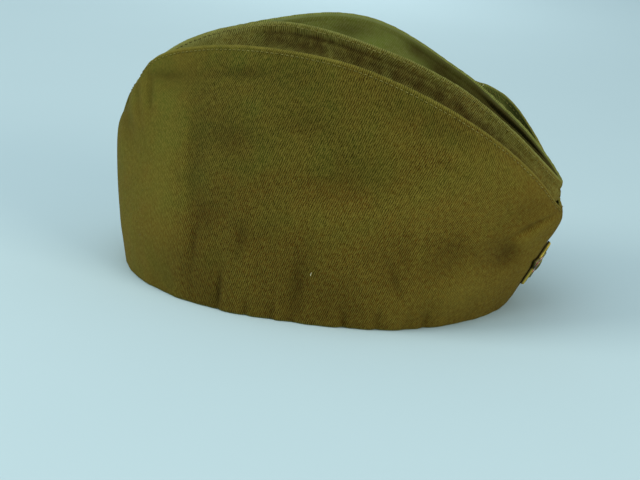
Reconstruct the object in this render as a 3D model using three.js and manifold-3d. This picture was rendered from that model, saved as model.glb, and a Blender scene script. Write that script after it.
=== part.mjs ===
import * as THREE from 'three';
import { mergeVertices } from 'three/addons/utils/BufferGeometryUtils.js';
import Module from 'manifold-3d';

// A garrison cap of cotton twill, in millimetres, +X to the front, +Y to the wearer's left, +Z up.
// Two flaps are turned up round the outside of a crown, which has two side walls and a
// boat-shaped top folded down between two ridges. The rim rests on the plane z = 0.

// Driving sizes
const RIM_LENGTH = 200;
const RIM_WIDTH = 158;
const FLAP_HEIGHT = 126.5;
const RIDGE_RISE = 8;
const TOP_WIDTH = 57;
const VALLEY_DEPTH = 22;
const VALLEY_SHARPNESS = 1.5;
const EDGE_BLEND = 1.5;
const WALL_LEAN = 2;
const FLAP_CLOTH = 2.0;
const CROWN_CLOTH = 1.4;
const TOP_EDGE_DEPTH = 1.3;
const SEAM_GAP = 0.3;
const PLY_GAP = 0.3;

const BADGE_RADIUS = 13.5;
const BADGE_CLOTH_GAP = 0.3;
const BADGE_PLATE = 1.1;
const BADGE_RIM = 0.9;
const BADGE_RIM_WIDTH = 0.11;
const BADGE_LEVEL = 0.42;
const BADGE_SPAN = 0.1;
const STAR_POINTS = 5;
const STAR_WAIST = 0.42;
const ENAMEL_CLEARANCE = 0.3;
const ENAMEL_THICKNESS = 0.5;
const ENAMEL_CROWN = 0.5;
const BOSS_RADIUS = 3.6;
const BOSS_HEIGHT = 1.0;
const BOSS_SIDES = 20;
const BOSS_STEPS = 5;
const PIN_WIDTH = 2.4;
const PIN_THICKNESS = 1.0;
const PIN_LEG = 9;
const PIN_REACH = 1.5;
const PIN_CLEARANCE = 0.3;
const SLOT_OVERSHOOT = 2;

// How finely each panel is divided along the cap and up its height
const FLAP_COLUMNS = 44;
const FLAP_ROWS = 12;
const WALL_COLUMNS = 34;
const WALL_ROWS = 11;
const TOP_SHORT_COLUMNS = 2;
const TOP_ROWS = 8;

// Sections of a flap, from the rim (level 0) to its upper edge (level 1).
// Reaches are shares of half the rim's length, half width a share of half the rim's width.
const FLAP_SECTIONS = [
  { level: 0.00, rear: 1.000, front: 1.000, halfWidth: 1.000 },
  { level: 0.12, rear: 1.025, front: 1.038, halfWidth: 1.012 },
  { level: 0.25, rear: 1.050, front: 1.068, halfWidth: 1.015 },
  { level: 0.50, rear: 1.085, front: 1.130, halfWidth: 0.955 },
  { level: 0.75, rear: 1.100, front: 1.205, halfWidth: 0.815 },
  { level: 0.88, rear: 1.082, front: 1.228, halfWidth: 0.705 },
  { level: 1.00, rear: 1.043, front: 1.220, halfWidth: 0.589 },
];

// A flap from the rear seam (-1) to the front seam (1). Height is its upper edge's, a share of
// FLAP_HEIGHT. Rim, right and left are how full the plan is at the rim and at each flap's upper
// edge, shares of an oval's width there. The left flap hangs lower behind and springs out in front.
const FLAP_EDGE = [
  { station: -1.00, height: 0.695, rim: 1.04, right: 0.85, left: 0.85, leftDrop: 0.000 },
  { station: -0.95, height: 0.757, rim: 1.04, right: 0.85, left: 0.85, leftDrop: 0.005 },
  { station: -0.90, height: 0.835, rim: 1.04, right: 0.77, left: 0.77, leftDrop: 0.022 },
  { station: -0.80, height: 0.899, rim: 1.04, right: 0.74, left: 0.72, leftDrop: 0.030 },
  { station: -0.65, height: 0.946, rim: 1.03, right: 0.76, left: 0.74, leftDrop: 0.028 },
  { station: -0.50, height: 0.976, rim: 1.03, right: 0.83, left: 0.81, leftDrop: 0.026 },
  { station: -0.30, height: 0.998, rim: 1.02, right: 0.93, left: 0.92, leftDrop: 0.012 },
  { station: -0.10, height: 0.998, rim: 1.00, right: 0.99, left: 0.99, leftDrop: 0.000 },
  { station: 0.10, height: 0.974, rim: 1.00, right: 1.00, left: 1.00, leftDrop: 0.000 },
  { station: 0.30, height: 0.920, rim: 1.01, right: 0.99, left: 0.97, leftDrop: 0.008 },
  { station: 0.50, height: 0.844, rim: 1.02, right: 0.99, left: 1.00, leftDrop: 0.008 },
  { station: 0.60, height: 0.796, rim: 1.02, right: 1.00, left: 1.14, leftDrop: -0.014 },
  { station: 0.70, height: 0.739, rim: 1.00, right: 1.02, left: 1.30, leftDrop: -0.026 },
  { station: 0.80, height: 0.664, rim: 0.96, right: 1.00, left: 1.30, leftDrop: -0.026 },
  { station: 0.88, height: 0.590, rim: 0.92, right: 0.94, left: 1.14, leftDrop: -0.012 },
  { station: 0.95, height: 0.510, rim: 0.87, right: 0.86, left: 0.92, leftDrop: 0.000 },
  { station: 1.00, height: 0.435, rim: 0.84, right: 0.75, left: 0.75, leftDrop: 0.000 },
];

// The ridge where a side wall meets the top. Height is a share of the ridge's highest point,
// fullness a share of the oval TOP_WIDTH wide, valley a share of VALLEY_DEPTH.
const RIDGE = [
  { station: -1.00, height: 0.680, fullness: 0.50, valley: 0.00, leftDrop: 0.000 },
  { station: -0.90, height: 0.780, fullness: 0.47, valley: 0.30, leftDrop: 0.010 },
  { station: -0.80, height: 0.850, fullness: 0.50, valley: 0.45, leftDrop: 0.018 },
  { station: -0.71, height: 0.894, fullness: 0.48, valley: 0.52, leftDrop: 0.020 },
  { station: -0.62, height: 0.928, fullness: 0.46, valley: 0.58, leftDrop: 0.020 },
  { station: -0.53, height: 0.953, fullness: 0.44, valley: 0.64, leftDrop: 0.020 },
  { station: -0.44, height: 0.975, fullness: 0.46, valley: 0.70, leftDrop: 0.020 },
  { station: -0.35, height: 0.990, fullness: 0.50, valley: 0.74, leftDrop: 0.016 },
  { station: -0.26, height: 0.998, fullness: 0.57, valley: 0.76, leftDrop: 0.008 },
  { station: -0.13, height: 1.000, fullness: 0.78, valley: 0.76, leftDrop: 0.000 },
  { station: 0.01, height: 0.990, fullness: 0.98, valley: 0.76, leftDrop: 0.000 },
  { station: 0.14, height: 0.964, fullness: 0.98, valley: 0.80, leftDrop: 0.000 },
  { station: 0.28, height: 0.924, fullness: 0.81, valley: 0.90, leftDrop: 0.000 },
  { station: 0.42, height: 0.872, fullness: 0.65, valley: 1.00, leftDrop: 0.000 },
  { station: 0.55, height: 0.817, fullness: 0.59, valley: 0.96, leftDrop: 0.000 },
  { station: 0.69, height: 0.739, fullness: 0.58, valley: 0.84, leftDrop: 0.000 },
  { station: 0.82, height: 0.651, fullness: 0.64, valley: 0.62, leftDrop: 0.000 },
  { station: 0.95, height: 0.541, fullness: 0.66, valley: 0.16, leftDrop: 0.000 },
  { station: 1.00, height: 0.495, fullness: 0.60, valley: 0.00, leftDrop: 0.000 },
];

// Dents (depth below zero) and swells of the cloth. Along is a share of half the rim's length
// from the middle, up a share of FLAP_HEIGHT, turn the fold's own direction in degrees from
// level, length and width shares of FLAP_HEIGHT, depth a share of the flap's thickness.
const RIGHT_FOLDS = [
  { along: -0.35, up: 0.21, turn: 87, length: 0.24, width: 0.045, depth: -0.85 },
  { along: -0.28, up: 0.20, turn: 87, length: 0.22, width: 0.060, depth: 0.45 },
  { along: -0.69, up: 0.03, turn: 82, length: 0.12, width: 0.055, depth: -0.45 },
  { along: -0.47, up: 0.03, turn: 94, length: 0.12, width: 0.050, depth: -0.40 },
  { along: 0.02, up: 0.04, turn: 86, length: 0.12, width: 0.055, depth: -0.40 },
  { along: 0.29, up: 0.05, turn: 94, length: 0.12, width: 0.055, depth: -0.40 },
  { along: 0.63, up: 0.05, turn: 80, length: 0.13, width: 0.060, depth: -0.45 },
  { along: 0.24, up: 0.55, turn: 8, length: 0.36, width: 0.075, depth: -0.95 },
  { along: 0.36, up: 0.44, turn: 4, length: 0.30, width: 0.085, depth: 0.80 },
  { along: 0.59, up: 0.79, turn: -20, length: 0.20, width: 0.060, depth: -0.80 },
  { along: -0.57, up: 0.54, turn: 97, length: 0.22, width: 0.055, depth: -0.55 },
  { along: -0.79, up: 0.80, turn: 4, length: 0.13, width: 0.050, depth: -0.80 },
  { along: -0.36, up: 0.89, turn: 2, length: 0.18, width: 0.045, depth: -0.45 },
  { along: -1.02, up: 0.60, turn: -50, length: 0.13, width: 0.050, depth: -1.00 },
  { along: 0.98, up: 0.44, turn: 6, length: 0.18, width: 0.055, depth: -0.80 },
  { along: 0.99, up: 0.29, turn: 36, length: 0.10, width: 0.070, depth: -0.70 },
];
const LEFT_FOLDS = [
  { along: -0.40, up: 0.20, turn: 92, length: 0.23, width: 0.050, depth: -0.75 },
  { along: -0.32, up: 0.20, turn: 92, length: 0.22, width: 0.060, depth: 0.45 },
  { along: -0.72, up: 0.03, turn: 84, length: 0.12, width: 0.055, depth: -0.45 },
  { along: -0.02, up: 0.04, turn: 88, length: 0.12, width: 0.055, depth: -0.40 },
  { along: 0.34, up: 0.05, turn: 94, length: 0.12, width: 0.055, depth: -0.40 },
  { along: 0.60, up: 0.05, turn: 84, length: 0.13, width: 0.060, depth: -0.45 },
  { along: 0.12, up: 0.56, turn: 5, length: 0.34, width: 0.080, depth: -0.85 },
  { along: 0.00, up: 0.43, turn: 2, length: 0.28, width: 0.085, depth: 0.60 },
  { along: 0.50, up: 0.70, turn: -24, length: 0.20, width: 0.060, depth: -0.70 },
  { along: -0.62, up: 0.56, turn: 84, length: 0.22, width: 0.055, depth: -0.55 },
  { along: -0.84, up: 0.76, turn: 8, length: 0.13, width: 0.050, depth: -0.80 },
  { along: 0.95, up: 0.40, turn: 10, length: 0.18, width: 0.055, depth: -0.70 },
];

// Materials
const twill = new THREE.MeshStandardMaterial({ color: 0x544b1e, roughness: 0.92, metalness: 0 });
const crownTwill = new THREE.MeshStandardMaterial({ color: 0x4a4420, roughness: 0.92, metalness: 0 });
const topTwill = new THREE.MeshStandardMaterial({ color: 0x575a2c, roughness: 0.92, metalness: 0 });
const brass = new THREE.MeshStandardMaterial({ color: 0xb08a38, roughness: 0.35, metalness: 1 });
const enamel = new THREE.MeshStandardMaterial({ color: 0x9c2414, roughness: 0.2, metalness: 0 });

// A value of a table's column, by a smooth curve through its rows
function valueAt(rows, by, column, at) {
  const last = rows.length - 1;
  let row = 0;
  while (row < last - 1 && at > rows[row + 1][by]) row += 1;
  const here = rows[row];
  const next = rows[row + 1];
  const before = rows[Math.max(row - 1, 0)];
  const after = rows[Math.min(row + 2, last)];
  const span = next[by] - here[by];
  const slopeHere = (next[column] - before[column]) / (next[by] - before[by]);
  const slopeNext = (after[column] - here[column]) / (after[by] - here[by]);
  const s = THREE.MathUtils.clamp((at - here[by]) / span, 0, 1);
  return (2 * s ** 3 - 3 * s ** 2 + 1) * here[column]
    + (s ** 3 - 2 * s ** 2 + s) * span * slopeHere
    + (3 * s ** 2 - 2 * s ** 3) * next[column]
    + (s ** 3 - s ** 2) * span * slopeNext;
}

// Station of a share along a panel: -1 at the rear seam, 1 at the front seam, closer at both
function stationAt(share) {
  return -Math.cos(Math.PI * share);
}

// Share of the oval's width at a station
function ovalAt(station) {
  return Math.sqrt(Math.max(0, 1 - station ** 2));
}

// The smooth outside of a flap. Side is -1 on the wearer's right and 1 on the left. EDGE_BLEND is
// how late the plan's fullness turns from the rim's to the upper edge's.
function flapPoint(share, level, side) {
  const station = stationAt(share);
  const sideColumn = side < 0 ? 'right' : 'left';
  const rear = valueAt(FLAP_SECTIONS, 'level', 'rear', level) * RIM_LENGTH / 2;
  const front = valueAt(FLAP_SECTIONS, 'level', 'front', level) * RIM_LENGTH / 2;
  const halfWidth = valueAt(FLAP_SECTIONS, 'level', 'halfWidth', level) * RIM_WIDTH / 2;
  const rimFullness = valueAt(FLAP_EDGE, 'station', 'rim', station);
  const edgeFullness = valueAt(FLAP_EDGE, 'station', sideColumn, station);
  const fullness = THREE.MathUtils.lerp(rimFullness, edgeFullness, level ** EDGE_BLEND);
  const drop = side > 0 ? valueAt(FLAP_EDGE, 'station', 'leftDrop', station) : 0;
  const edge = (valueAt(FLAP_EDGE, 'station', 'height', station) - drop) * FLAP_HEIGHT;
  return new THREE.Vector3(
    (front - rear) / 2 + (front + rear) / 2 * station,
    side * halfWidth * ovalAt(station) * fullness,
    edge * level,
  );
}

// The ridge, where a side wall's outside ends. It ends just inside the flaps at both seams.
function ridgePoint(share, side) {
  const station = stationAt(share);
  const drop = side > 0 ? valueAt(RIDGE, 'station', 'leftDrop', station) : 0;
  const setback = FLAP_CLOTH + PLY_GAP;
  const rear = flapPoint(0, 1, side).x + setback;
  const front = flapPoint(1, 1, side).x - setback;
  return new THREE.Vector3(
    (front + rear) / 2 + (front - rear) / 2 * station,
    side * TOP_WIDTH / 2 * ovalAt(station) * valueAt(RIDGE, 'station', 'fullness', station),
    (valueAt(RIDGE, 'station', 'height', station) - drop) * (FLAP_HEIGHT + RIDGE_RISE),
  );
}

// How far the folds of a side push the cloth out at a point
function foldDepth(point, folds) {
  let depth = 0;
  for (const fold of folds) {
    const along = point.x - fold.along * RIM_LENGTH / 2;
    const up = point.z - fold.up * FLAP_HEIGHT;
    const turn = THREE.MathUtils.degToRad(fold.turn);
    const lengthwise = (along * Math.cos(turn) + up * Math.sin(turn)) / (fold.length * FLAP_HEIGHT);
    const crosswise = (up * Math.cos(turn) - along * Math.sin(turn)) / (fold.width * FLAP_HEIGHT);
    depth += fold.depth * FLAP_CLOTH * Math.exp(-(lengthwise ** 2) - crosswise ** 2);
  }
  return depth;
}

// Normals of a grid of points, on the side that turn (1 or -1) picks
function gridNormals(grid, turn) {
  const lastColumn = grid.length - 1;
  const lastRow = grid[0].length - 1;
  return grid.map((column, i) => column.map((point, j) => {
    const along = grid[Math.min(i + 1, lastColumn)][j].clone().sub(grid[Math.max(i - 1, 0)][j]);
    const up = column[Math.min(j + 1, lastRow)].clone().sub(column[Math.max(j - 1, 0)]);
    return along.cross(up).multiplyScalar(turn).normalize();
  }));
}

// Outward normals of a side's grid. They are level along the rim and lie in the seams' plane at
// both ends, so that the cut edges there are flat.
function sideNormals(grid, side) {
  const lastColumn = grid.length - 1;
  const normals = gridNormals(grid, -side);
  for (const column of normals) {
    column[0].setZ(0).normalize();
  }
  for (const end of [0, lastColumn]) {
    for (const normal of normals[end]) {
      normal.setY(0).normalize();
    }
  }
  return normals;
}

// A grid moved along its normals, kept half a seam's gap off the middle plane
function offsetGrid(grid, normals, distance, side) {
  return grid.map((column, i) => column.map((point, j) => {
    const moved = point.clone().addScaledVector(normals[i][j], distance);
    moved.y = side * Math.max(side * moved.y, SEAM_GAP / 2);
    return moved;
  }));
}

function pointGrid(columns, rows, pointAt) {
  return Array.from({ length: columns + 1 }, (_, i) => (
    Array.from({ length: rows + 1 }, (__, j) => pointAt(i / columns, j / rows))
  ));
}

// A closed sheet between an outer and an inner grid. Flip is true where the grid's columns and
// rows run clockwise as seen from outside.
function sheetGeometry(outer, inner, flip) {
  const columns = outer.length;
  const rows = outer[0].length;
  const points = [...outer.flat(), ...inner.flat()];
  const faces = [];
  const quad = (a, b, c, d) => {
    if (flip) faces.push(a, c, b, a, d, c);
    else faces.push(a, b, c, a, c, d);
  };
  const at = (i, j, layer) => layer * columns * rows + i * rows + j;
  for (let i = 0; i < columns - 1; i += 1) {
    for (let j = 0; j < rows - 1; j += 1) {
      quad(at(i, j, 0), at(i + 1, j, 0), at(i + 1, j + 1, 0), at(i, j + 1, 0));
      quad(at(i, j, 1), at(i, j + 1, 1), at(i + 1, j + 1, 1), at(i + 1, j, 1));
    }
    quad(at(i, 0, 0), at(i, 0, 1), at(i + 1, 0, 1), at(i + 1, 0, 0));
    quad(at(i, rows - 1, 0), at(i + 1, rows - 1, 0), at(i + 1, rows - 1, 1), at(i, rows - 1, 1));
  }
  for (let j = 0; j < rows - 1; j += 1) {
    quad(at(0, j, 0), at(0, j + 1, 0), at(0, j + 1, 1), at(0, j, 1));
    const end = columns - 1;
    quad(at(end, j, 0), at(end, j, 1), at(end, j + 1, 1), at(end, j + 1, 0));
  }
  const geometry = new THREE.BufferGeometry();
  const numbers = points.flatMap((point) => point.toArray());
  geometry.setAttribute('position', new THREE.Float32BufferAttribute(numbers, 3));
  geometry.setIndex(faces);
  return geometry;
}

// The folded outside of a flap, at any share along it and any level
function foldedFlapGrid(columns, rows, side) {
  const folds = side < 0 ? RIGHT_FOLDS : LEFT_FOLDS;
  const smooth = pointGrid(columns, rows, (share, level) => flapPoint(share, level, side));
  const normals = sideNormals(smooth, side);
  return smooth.map((column, i) => column.map((point, j) => (
    point.clone().addScaledVector(normals[i][j], foldDepth(point, folds))
  )));
}

function flapFaces(side) {
  const grid = foldedFlapGrid(FLAP_COLUMNS, FLAP_ROWS, side);
  const normals = sideNormals(grid, side);
  return {
    outer: offsetGrid(grid, normals, 0, side),
    inner: offsetGrid(grid, normals, -FLAP_CLOTH, side),
  };
}

// A side wall's outside: against the flap at the rim, then leaning in to the ridge, the later
// the higher WALL_LEAN is
function wallGrid(columns, rows, side) {
  const flap = foldedFlapGrid(columns, rows, side);
  const lining = offsetGrid(flap, sideNormals(flap, side), -FLAP_CLOTH - PLY_GAP, side);
  return lining.map((column, i) => column.map((point, j) => {
    const rise = j / rows;
    const lean = column[0].clone().lerp(ridgePoint(i / columns, side), rise);
    return point.clone().lerp(lean, rise ** WALL_LEAN);
  }));
}

function wallFaces(side) {
  const grid = wallGrid(WALL_COLUMNS, WALL_ROWS, side);
  const normals = sideNormals(grid, side);
  return {
    outer: offsetGrid(grid, normals, 0, side),
    inner: offsetGrid(grid, normals, -CROWN_CLOTH, side),
    normals,
  };
}

// The top: a sheet between the walls' upper edges, sunk to a valley along its middle
function topGeometry(right, left) {
  const rightEdge = topEdge(right);
  const leftEdge = topEdge(left);
  const outer = rightEdge.map((edge, i) => (
    Array.from({ length: TOP_ROWS + 1 }, (_, j) => {
      const across = j / TOP_ROWS * 2 - 1;
      const station = stationAt((i + TOP_SHORT_COLUMNS) / WALL_COLUMNS);
      const depth = valueAt(RIDGE, 'station', 'valley', station) * VALLEY_DEPTH;
      const point = edge.upper.clone().lerp(leftEdge[i].upper, j / TOP_ROWS);
      point.z -= depth * (1 - Math.abs(across) ** VALLEY_SHARPNESS);
      return point;
    })
  ));
  const inner = gridNormals(outer, 1).map((column, i) => column.map((normal, j) => {
    if (j === 0) return rightEdge[i].lower;
    if (j === TOP_ROWS) return leftEdge[i].lower;
    return outer[i][j].clone().addScaledVector(normal, -CROWN_CLOTH);
  }));
  return sheetGeometry(outer, inner, false);
}

// The top's edge inside a wall: its upper and lower corners, a ply's gap off the wall. The lower
// one lies TOP_EDGE_DEPTH thicknesses down the wall.
function topEdge(wall) {
  const edge = [];
  for (let i = TOP_SHORT_COLUMNS; i <= WALL_COLUMNS - TOP_SHORT_COLUMNS; i += 1) {
    const upper = wall.inner[i][WALL_ROWS].clone().addScaledVector(wall.normals[i][WALL_ROWS], -PLY_GAP);
    const down = wall.inner[i][WALL_ROWS - 1].clone().sub(wall.inner[i][WALL_ROWS]).normalize();
    edge.push({ upper, lower: upper.clone().addScaledVector(down, CROWN_CLOTH * TOP_EDGE_DEPTH) });
  }
  return edge;
}

// The badge lies on the front seam: its frame has X to the left, Y up the seam, Z outward
function seamFrame() {
  const seamPoint = (level) => flapPoint(1, level, -1).setY(0);
  const centre = seamPoint(BADGE_LEVEL);
  const up = seamPoint(BADGE_LEVEL + BADGE_SPAN).sub(seamPoint(BADGE_LEVEL - BADGE_SPAN)).normalize();
  const left = new THREE.Vector3(0, 1, 0);
  const out = left.clone().cross(up);
  return new THREE.Matrix4().makeBasis(left, up, out).setPosition(centre);
}

// Highest or lowest point, along the badge's own Z, of the front cloth within reach of its centre
function clothHeight(grids, frame, reach, pick) {
  const toBadge = frame.clone().invert();
  const heights = grids.flat(2)
    .filter((point) => point.x > 0)
    .map((point) => point.clone().applyMatrix4(toBadge))
    .filter((point) => Math.hypot(point.x, point.y) < reach)
    .map((point) => point.z);
  return pick(...heights);
}

// The star's outline
function starOutline(radius) {
  const innerRadius = radius * STAR_WAIST;
  return Array.from({ length: STAR_POINTS * 2 }, (_, i) => {
    const angle = Math.PI / 2 + i * Math.PI / STAR_POINTS;
    const reach = i % 2 === 0 ? radius : innerRadius;
    return new THREE.Vector2(reach * Math.cos(angle), reach * Math.sin(angle));
  });
}

// A solid stacked from rings of one outline, each with its own scale and height
function stackGeometry(outline, rings) {
  const points = [];
  const faces = [];
  const count = outline.length;
  for (const ring of rings) {
    for (const corner of outline) points.push(corner.x * ring.scale, corner.y * ring.scale, ring.height);
  }
  const bottom = points.length / 3;
  points.push(0, 0, rings[0].height);
  const top = bottom + 1;
  points.push(0, 0, rings[rings.length - 1].height);
  const lastRing = (rings.length - 1) * count;
  for (let i = 0; i < count; i += 1) {
    const next = (i + 1) % count;
    faces.push(bottom, next, i);
    faces.push(top, lastRing + i, lastRing + next);
    for (let row = 0; row < rings.length - 1; row += 1) {
      const low = row * count;
      const high = low + count;
      faces.push(low + i, low + next, high + next, low + i, high + next, high + i);
    }
  }
  const geometry = new THREE.BufferGeometry();
  geometry.setAttribute('position', new THREE.Float32BufferAttribute(points, 3));
  geometry.setIndex(faces);
  return geometry;
}

function badgePlateGeometry() {
  const field = 1 - BADGE_RIM_WIDTH * 2;
  return stackGeometry(starOutline(BADGE_RADIUS), [
    { scale: 1, height: 0 },
    { scale: 1, height: BADGE_PLATE },
    { scale: 1 - BADGE_RIM_WIDTH / 2, height: BADGE_PLATE + BADGE_RIM },
    { scale: 1 - BADGE_RIM_WIDTH, height: BADGE_PLATE + BADGE_RIM },
    { scale: field, height: BADGE_PLATE },
  ]);
}

function badgeEnamelGeometry() {
  const base = BADGE_PLATE + ENAMEL_CLEARANCE;
  const edge = 1 - BADGE_RIM_WIDTH * 2 - ENAMEL_CLEARANCE / (BADGE_RADIUS * STAR_WAIST);
  return stackGeometry(starOutline(BADGE_RADIUS), [
    { scale: edge, height: base },
    { scale: edge, height: base + ENAMEL_THICKNESS / 2 },
    { scale: edge * ENAMEL_CROWN, height: base + ENAMEL_THICKNESS },
  ]);
}

// The plain round boss in the middle of the star, a turned dome
function badgeBossGeometry() {
  const base = BADGE_PLATE + ENAMEL_CLEARANCE * 2 + ENAMEL_THICKNESS;
  const profile = [new THREE.Vector2(0, base)];
  for (let i = 0; i <= BOSS_STEPS; i += 1) {
    const angle = i / BOSS_STEPS * Math.PI / 2;
    profile.push(new THREE.Vector2(BOSS_RADIUS * Math.cos(angle), base + BOSS_HEIGHT * Math.sin(angle)));
  }
  profile[profile.length - 1].x = 0;
  return new THREE.LatheGeometry(profile, BOSS_SIDES).rotateX(Math.PI / 2);
}

// The pin behind the badge: a flat prong through the seam, its leg turned up inside the crown.
// Top is the height of its end behind the star, bottom that of the leg's inner face.
function pinGeometry(top, bottom) {
  const half = PIN_THICKNESS / 2;
  const shape = new THREE.Shape([
    new THREE.Vector2(-half, top),
    new THREE.Vector2(-half, bottom),
    new THREE.Vector2(PIN_LEG, bottom),
    new THREE.Vector2(PIN_LEG, bottom + PIN_THICKNESS),
    new THREE.Vector2(half, bottom + PIN_THICKNESS),
    new THREE.Vector2(half, top),
  ]);
  const place = new THREE.Matrix4().makeBasis(
    new THREE.Vector3(0, 1, 0),
    new THREE.Vector3(0, 0, 1),
    new THREE.Vector3(1, 0, 0),
  ).setPosition(-PIN_WIDTH / 2, 0, 0);
  const bar = new THREE.ExtrudeGeometry(shape, { depth: PIN_WIDTH, bevelEnabled: false });
  return bar.applyMatrix4(place);
}

const wasm = await Module();
wasm.setup();

function toSolid(geometry) {
  const plain = geometry.clone();
  plain.deleteAttribute('normal');
  plain.deleteAttribute('uv');
  const merged = mergeVertices(plain);
  return new wasm.Manifold(new wasm.Mesh({
    numProp: 3,
    vertProperties: Float32Array.from(merged.attributes.position.array),
    triVerts: Uint32Array.from(merged.index.array),
  }));
}

function cutGeometry(geometry, tool) {
  const mesh = toSolid(geometry).subtract(toSolid(tool)).getMesh();
  const cut = new THREE.BufferGeometry();
  cut.setAttribute('position', new THREE.BufferAttribute(mesh.vertProperties, 3));
  cut.setIndex(new THREE.BufferAttribute(mesh.triVerts, 1));
  return cut;
}

const flaps = { right: flapFaces(-1), left: flapFaces(1) };
const walls = { right: wallFaces(-1), left: wallFaces(1) };
const badgeFrame = seamFrame();
const clothTop = clothHeight([flaps.right.outer, flaps.left.outer], badgeFrame, BADGE_RADIUS, Math.max);
const pinReach = PIN_LEG * PIN_REACH;
const clothBottom = clothHeight([walls.right.inner, walls.left.inner], badgeFrame, pinReach, Math.min);
const badgeSeat = clothTop + BADGE_CLOTH_GAP;

const slotRoom = PIN_CLEARANCE * 2;
const slotDepth = (clothTop - clothBottom) * SLOT_OVERSHOOT;
const slot = new THREE.BoxGeometry(PIN_WIDTH + slotRoom, PIN_THICKNESS + slotRoom, slotDepth)
  .translate(0, 0, (clothTop + clothBottom) / 2)
  .applyMatrix4(badgeFrame);

const cap = new THREE.Group();
const badge = new THREE.Group();
badge.applyMatrix4(badgeFrame);
cap.add(badge);

function addPiece(parent, name, geometry, material) {
  geometry.computeVertexNormals();
  const mesh = new THREE.Mesh(geometry, material);
  mesh.name = name;
  parent.add(mesh);
}

for (const [name, flip] of [['right', false], ['left', true]]) {
  const flap = sheetGeometry(flaps[name].outer, flaps[name].inner, flip);
  const wall = sheetGeometry(walls[name].outer, walls[name].inner, flip);
  addPiece(cap, `flap_${name}`, cutGeometry(flap, slot), twill);
  addPiece(cap, `crown_wall_${name}`, cutGeometry(wall, slot), crownTwill);
}
addPiece(cap, 'crown_top', topGeometry(walls.right, walls.left), topTwill);
addPiece(badge, 'badge_star', badgePlateGeometry().translate(0, 0, badgeSeat), brass);
addPiece(badge, 'badge_enamel', badgeEnamelGeometry().translate(0, 0, badgeSeat), enamel);
addPiece(badge, 'badge_boss', badgeBossGeometry().translate(0, 0, badgeSeat), brass);
const pinTop = badgeSeat - PIN_CLEARANCE;
const pinBottom = clothBottom - PIN_CLEARANCE - PIN_THICKNESS;
addPiece(badge, 'badge_pin', pinGeometry(pinTop, pinBottom), brass);

// The origin is under the middle of the cap's length, on the plane it rests on
const box = new THREE.Box3().setFromObject(cap);
cap.position.x = -(box.min.x + box.max.x) / 2;

export default cap;
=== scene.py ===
import bpy
import numpy as np
from mathutils import Matrix, Vector


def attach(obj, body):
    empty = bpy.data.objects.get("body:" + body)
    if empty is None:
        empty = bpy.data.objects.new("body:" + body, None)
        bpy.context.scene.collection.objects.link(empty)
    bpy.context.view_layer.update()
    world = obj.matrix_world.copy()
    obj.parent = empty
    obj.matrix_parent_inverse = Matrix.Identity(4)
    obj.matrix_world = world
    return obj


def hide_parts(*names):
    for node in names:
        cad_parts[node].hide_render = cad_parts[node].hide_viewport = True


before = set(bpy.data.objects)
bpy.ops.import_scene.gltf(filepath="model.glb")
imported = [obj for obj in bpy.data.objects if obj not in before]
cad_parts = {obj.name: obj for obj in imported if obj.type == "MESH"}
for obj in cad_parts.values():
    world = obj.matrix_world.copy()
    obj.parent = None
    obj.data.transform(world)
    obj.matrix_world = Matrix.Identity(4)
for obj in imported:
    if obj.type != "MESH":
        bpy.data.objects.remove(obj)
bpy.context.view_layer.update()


# The flaps
# Two panels of doubled cotton twill, one for each side of the head. They are sewn to the crown round the
# rim, joined to each other at the front and rear seams, and turned up over the outside of the crown.

RIM_LENGTH = 0.200
RIM_WIDTH = 0.158
FLAP_HEIGHT = 0.1265
FLAP_CLOTH = 0.0020
SEAM_GAP = 0.0003
PLY_GAP = 0.0003
RIM_MIDDLE = np.array([-0.0063108, 0.0, 0.0])
EDGE_BLEND = 1.5
FLAP_COLUMNS = 380
FLAP_ROWS = 104
EDGE_STITCH_INSET = 0.0024
STITCH_PITCH = 0.0027
BADGE_TURN = np.radians(8)
BADGE_LEVEL = 0.42
BADGE_SPAN = 0.1
BADGE_TOUCH = 0.00015
DRAWN_IN = 0.0020
DRAWN_OUT = 0.0014
INNER_EASE = 0.0014
EDGE_CURL = 0.0042
EDGE_GROOVE = 0.00050
SEAM_GROOVE = 0.00080
STITCH_PULL = 0.00026
SMALL_CREASES = 90
SMALL_CREASE_DEPTH = 0.10

# Waves of the cloth: height and length
BROAD_WAVES = (0.00040, 0.045)
RIM_GATHERS = (0.00045, 0.011)
EDGE_PUCKERS = (0.00020, 0.005)
SEAM_PUCKERS = (0.00040, 0.012)


def table(names, rows):
    """A table of rows as a dictionary of columns. The first column says where each row stands."""
    return dict(zip(names.split(), np.array(rows, float).T))


# Reaches are shares of half the rim's length, half width a share of half its width
FLAP_SECTIONS = table("level rear front half_width", [
    (0.00, 1.000, 1.000, 1.000),
    (0.12, 1.025, 1.038, 1.012),
    (0.25, 1.050, 1.068, 1.015),
    (0.50, 1.085, 1.130, 0.955),
    (0.75, 1.100, 1.205, 0.815),
    (0.88, 1.082, 1.228, 0.705),
    (1.00, 1.043, 1.220, 0.589),
])

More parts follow.
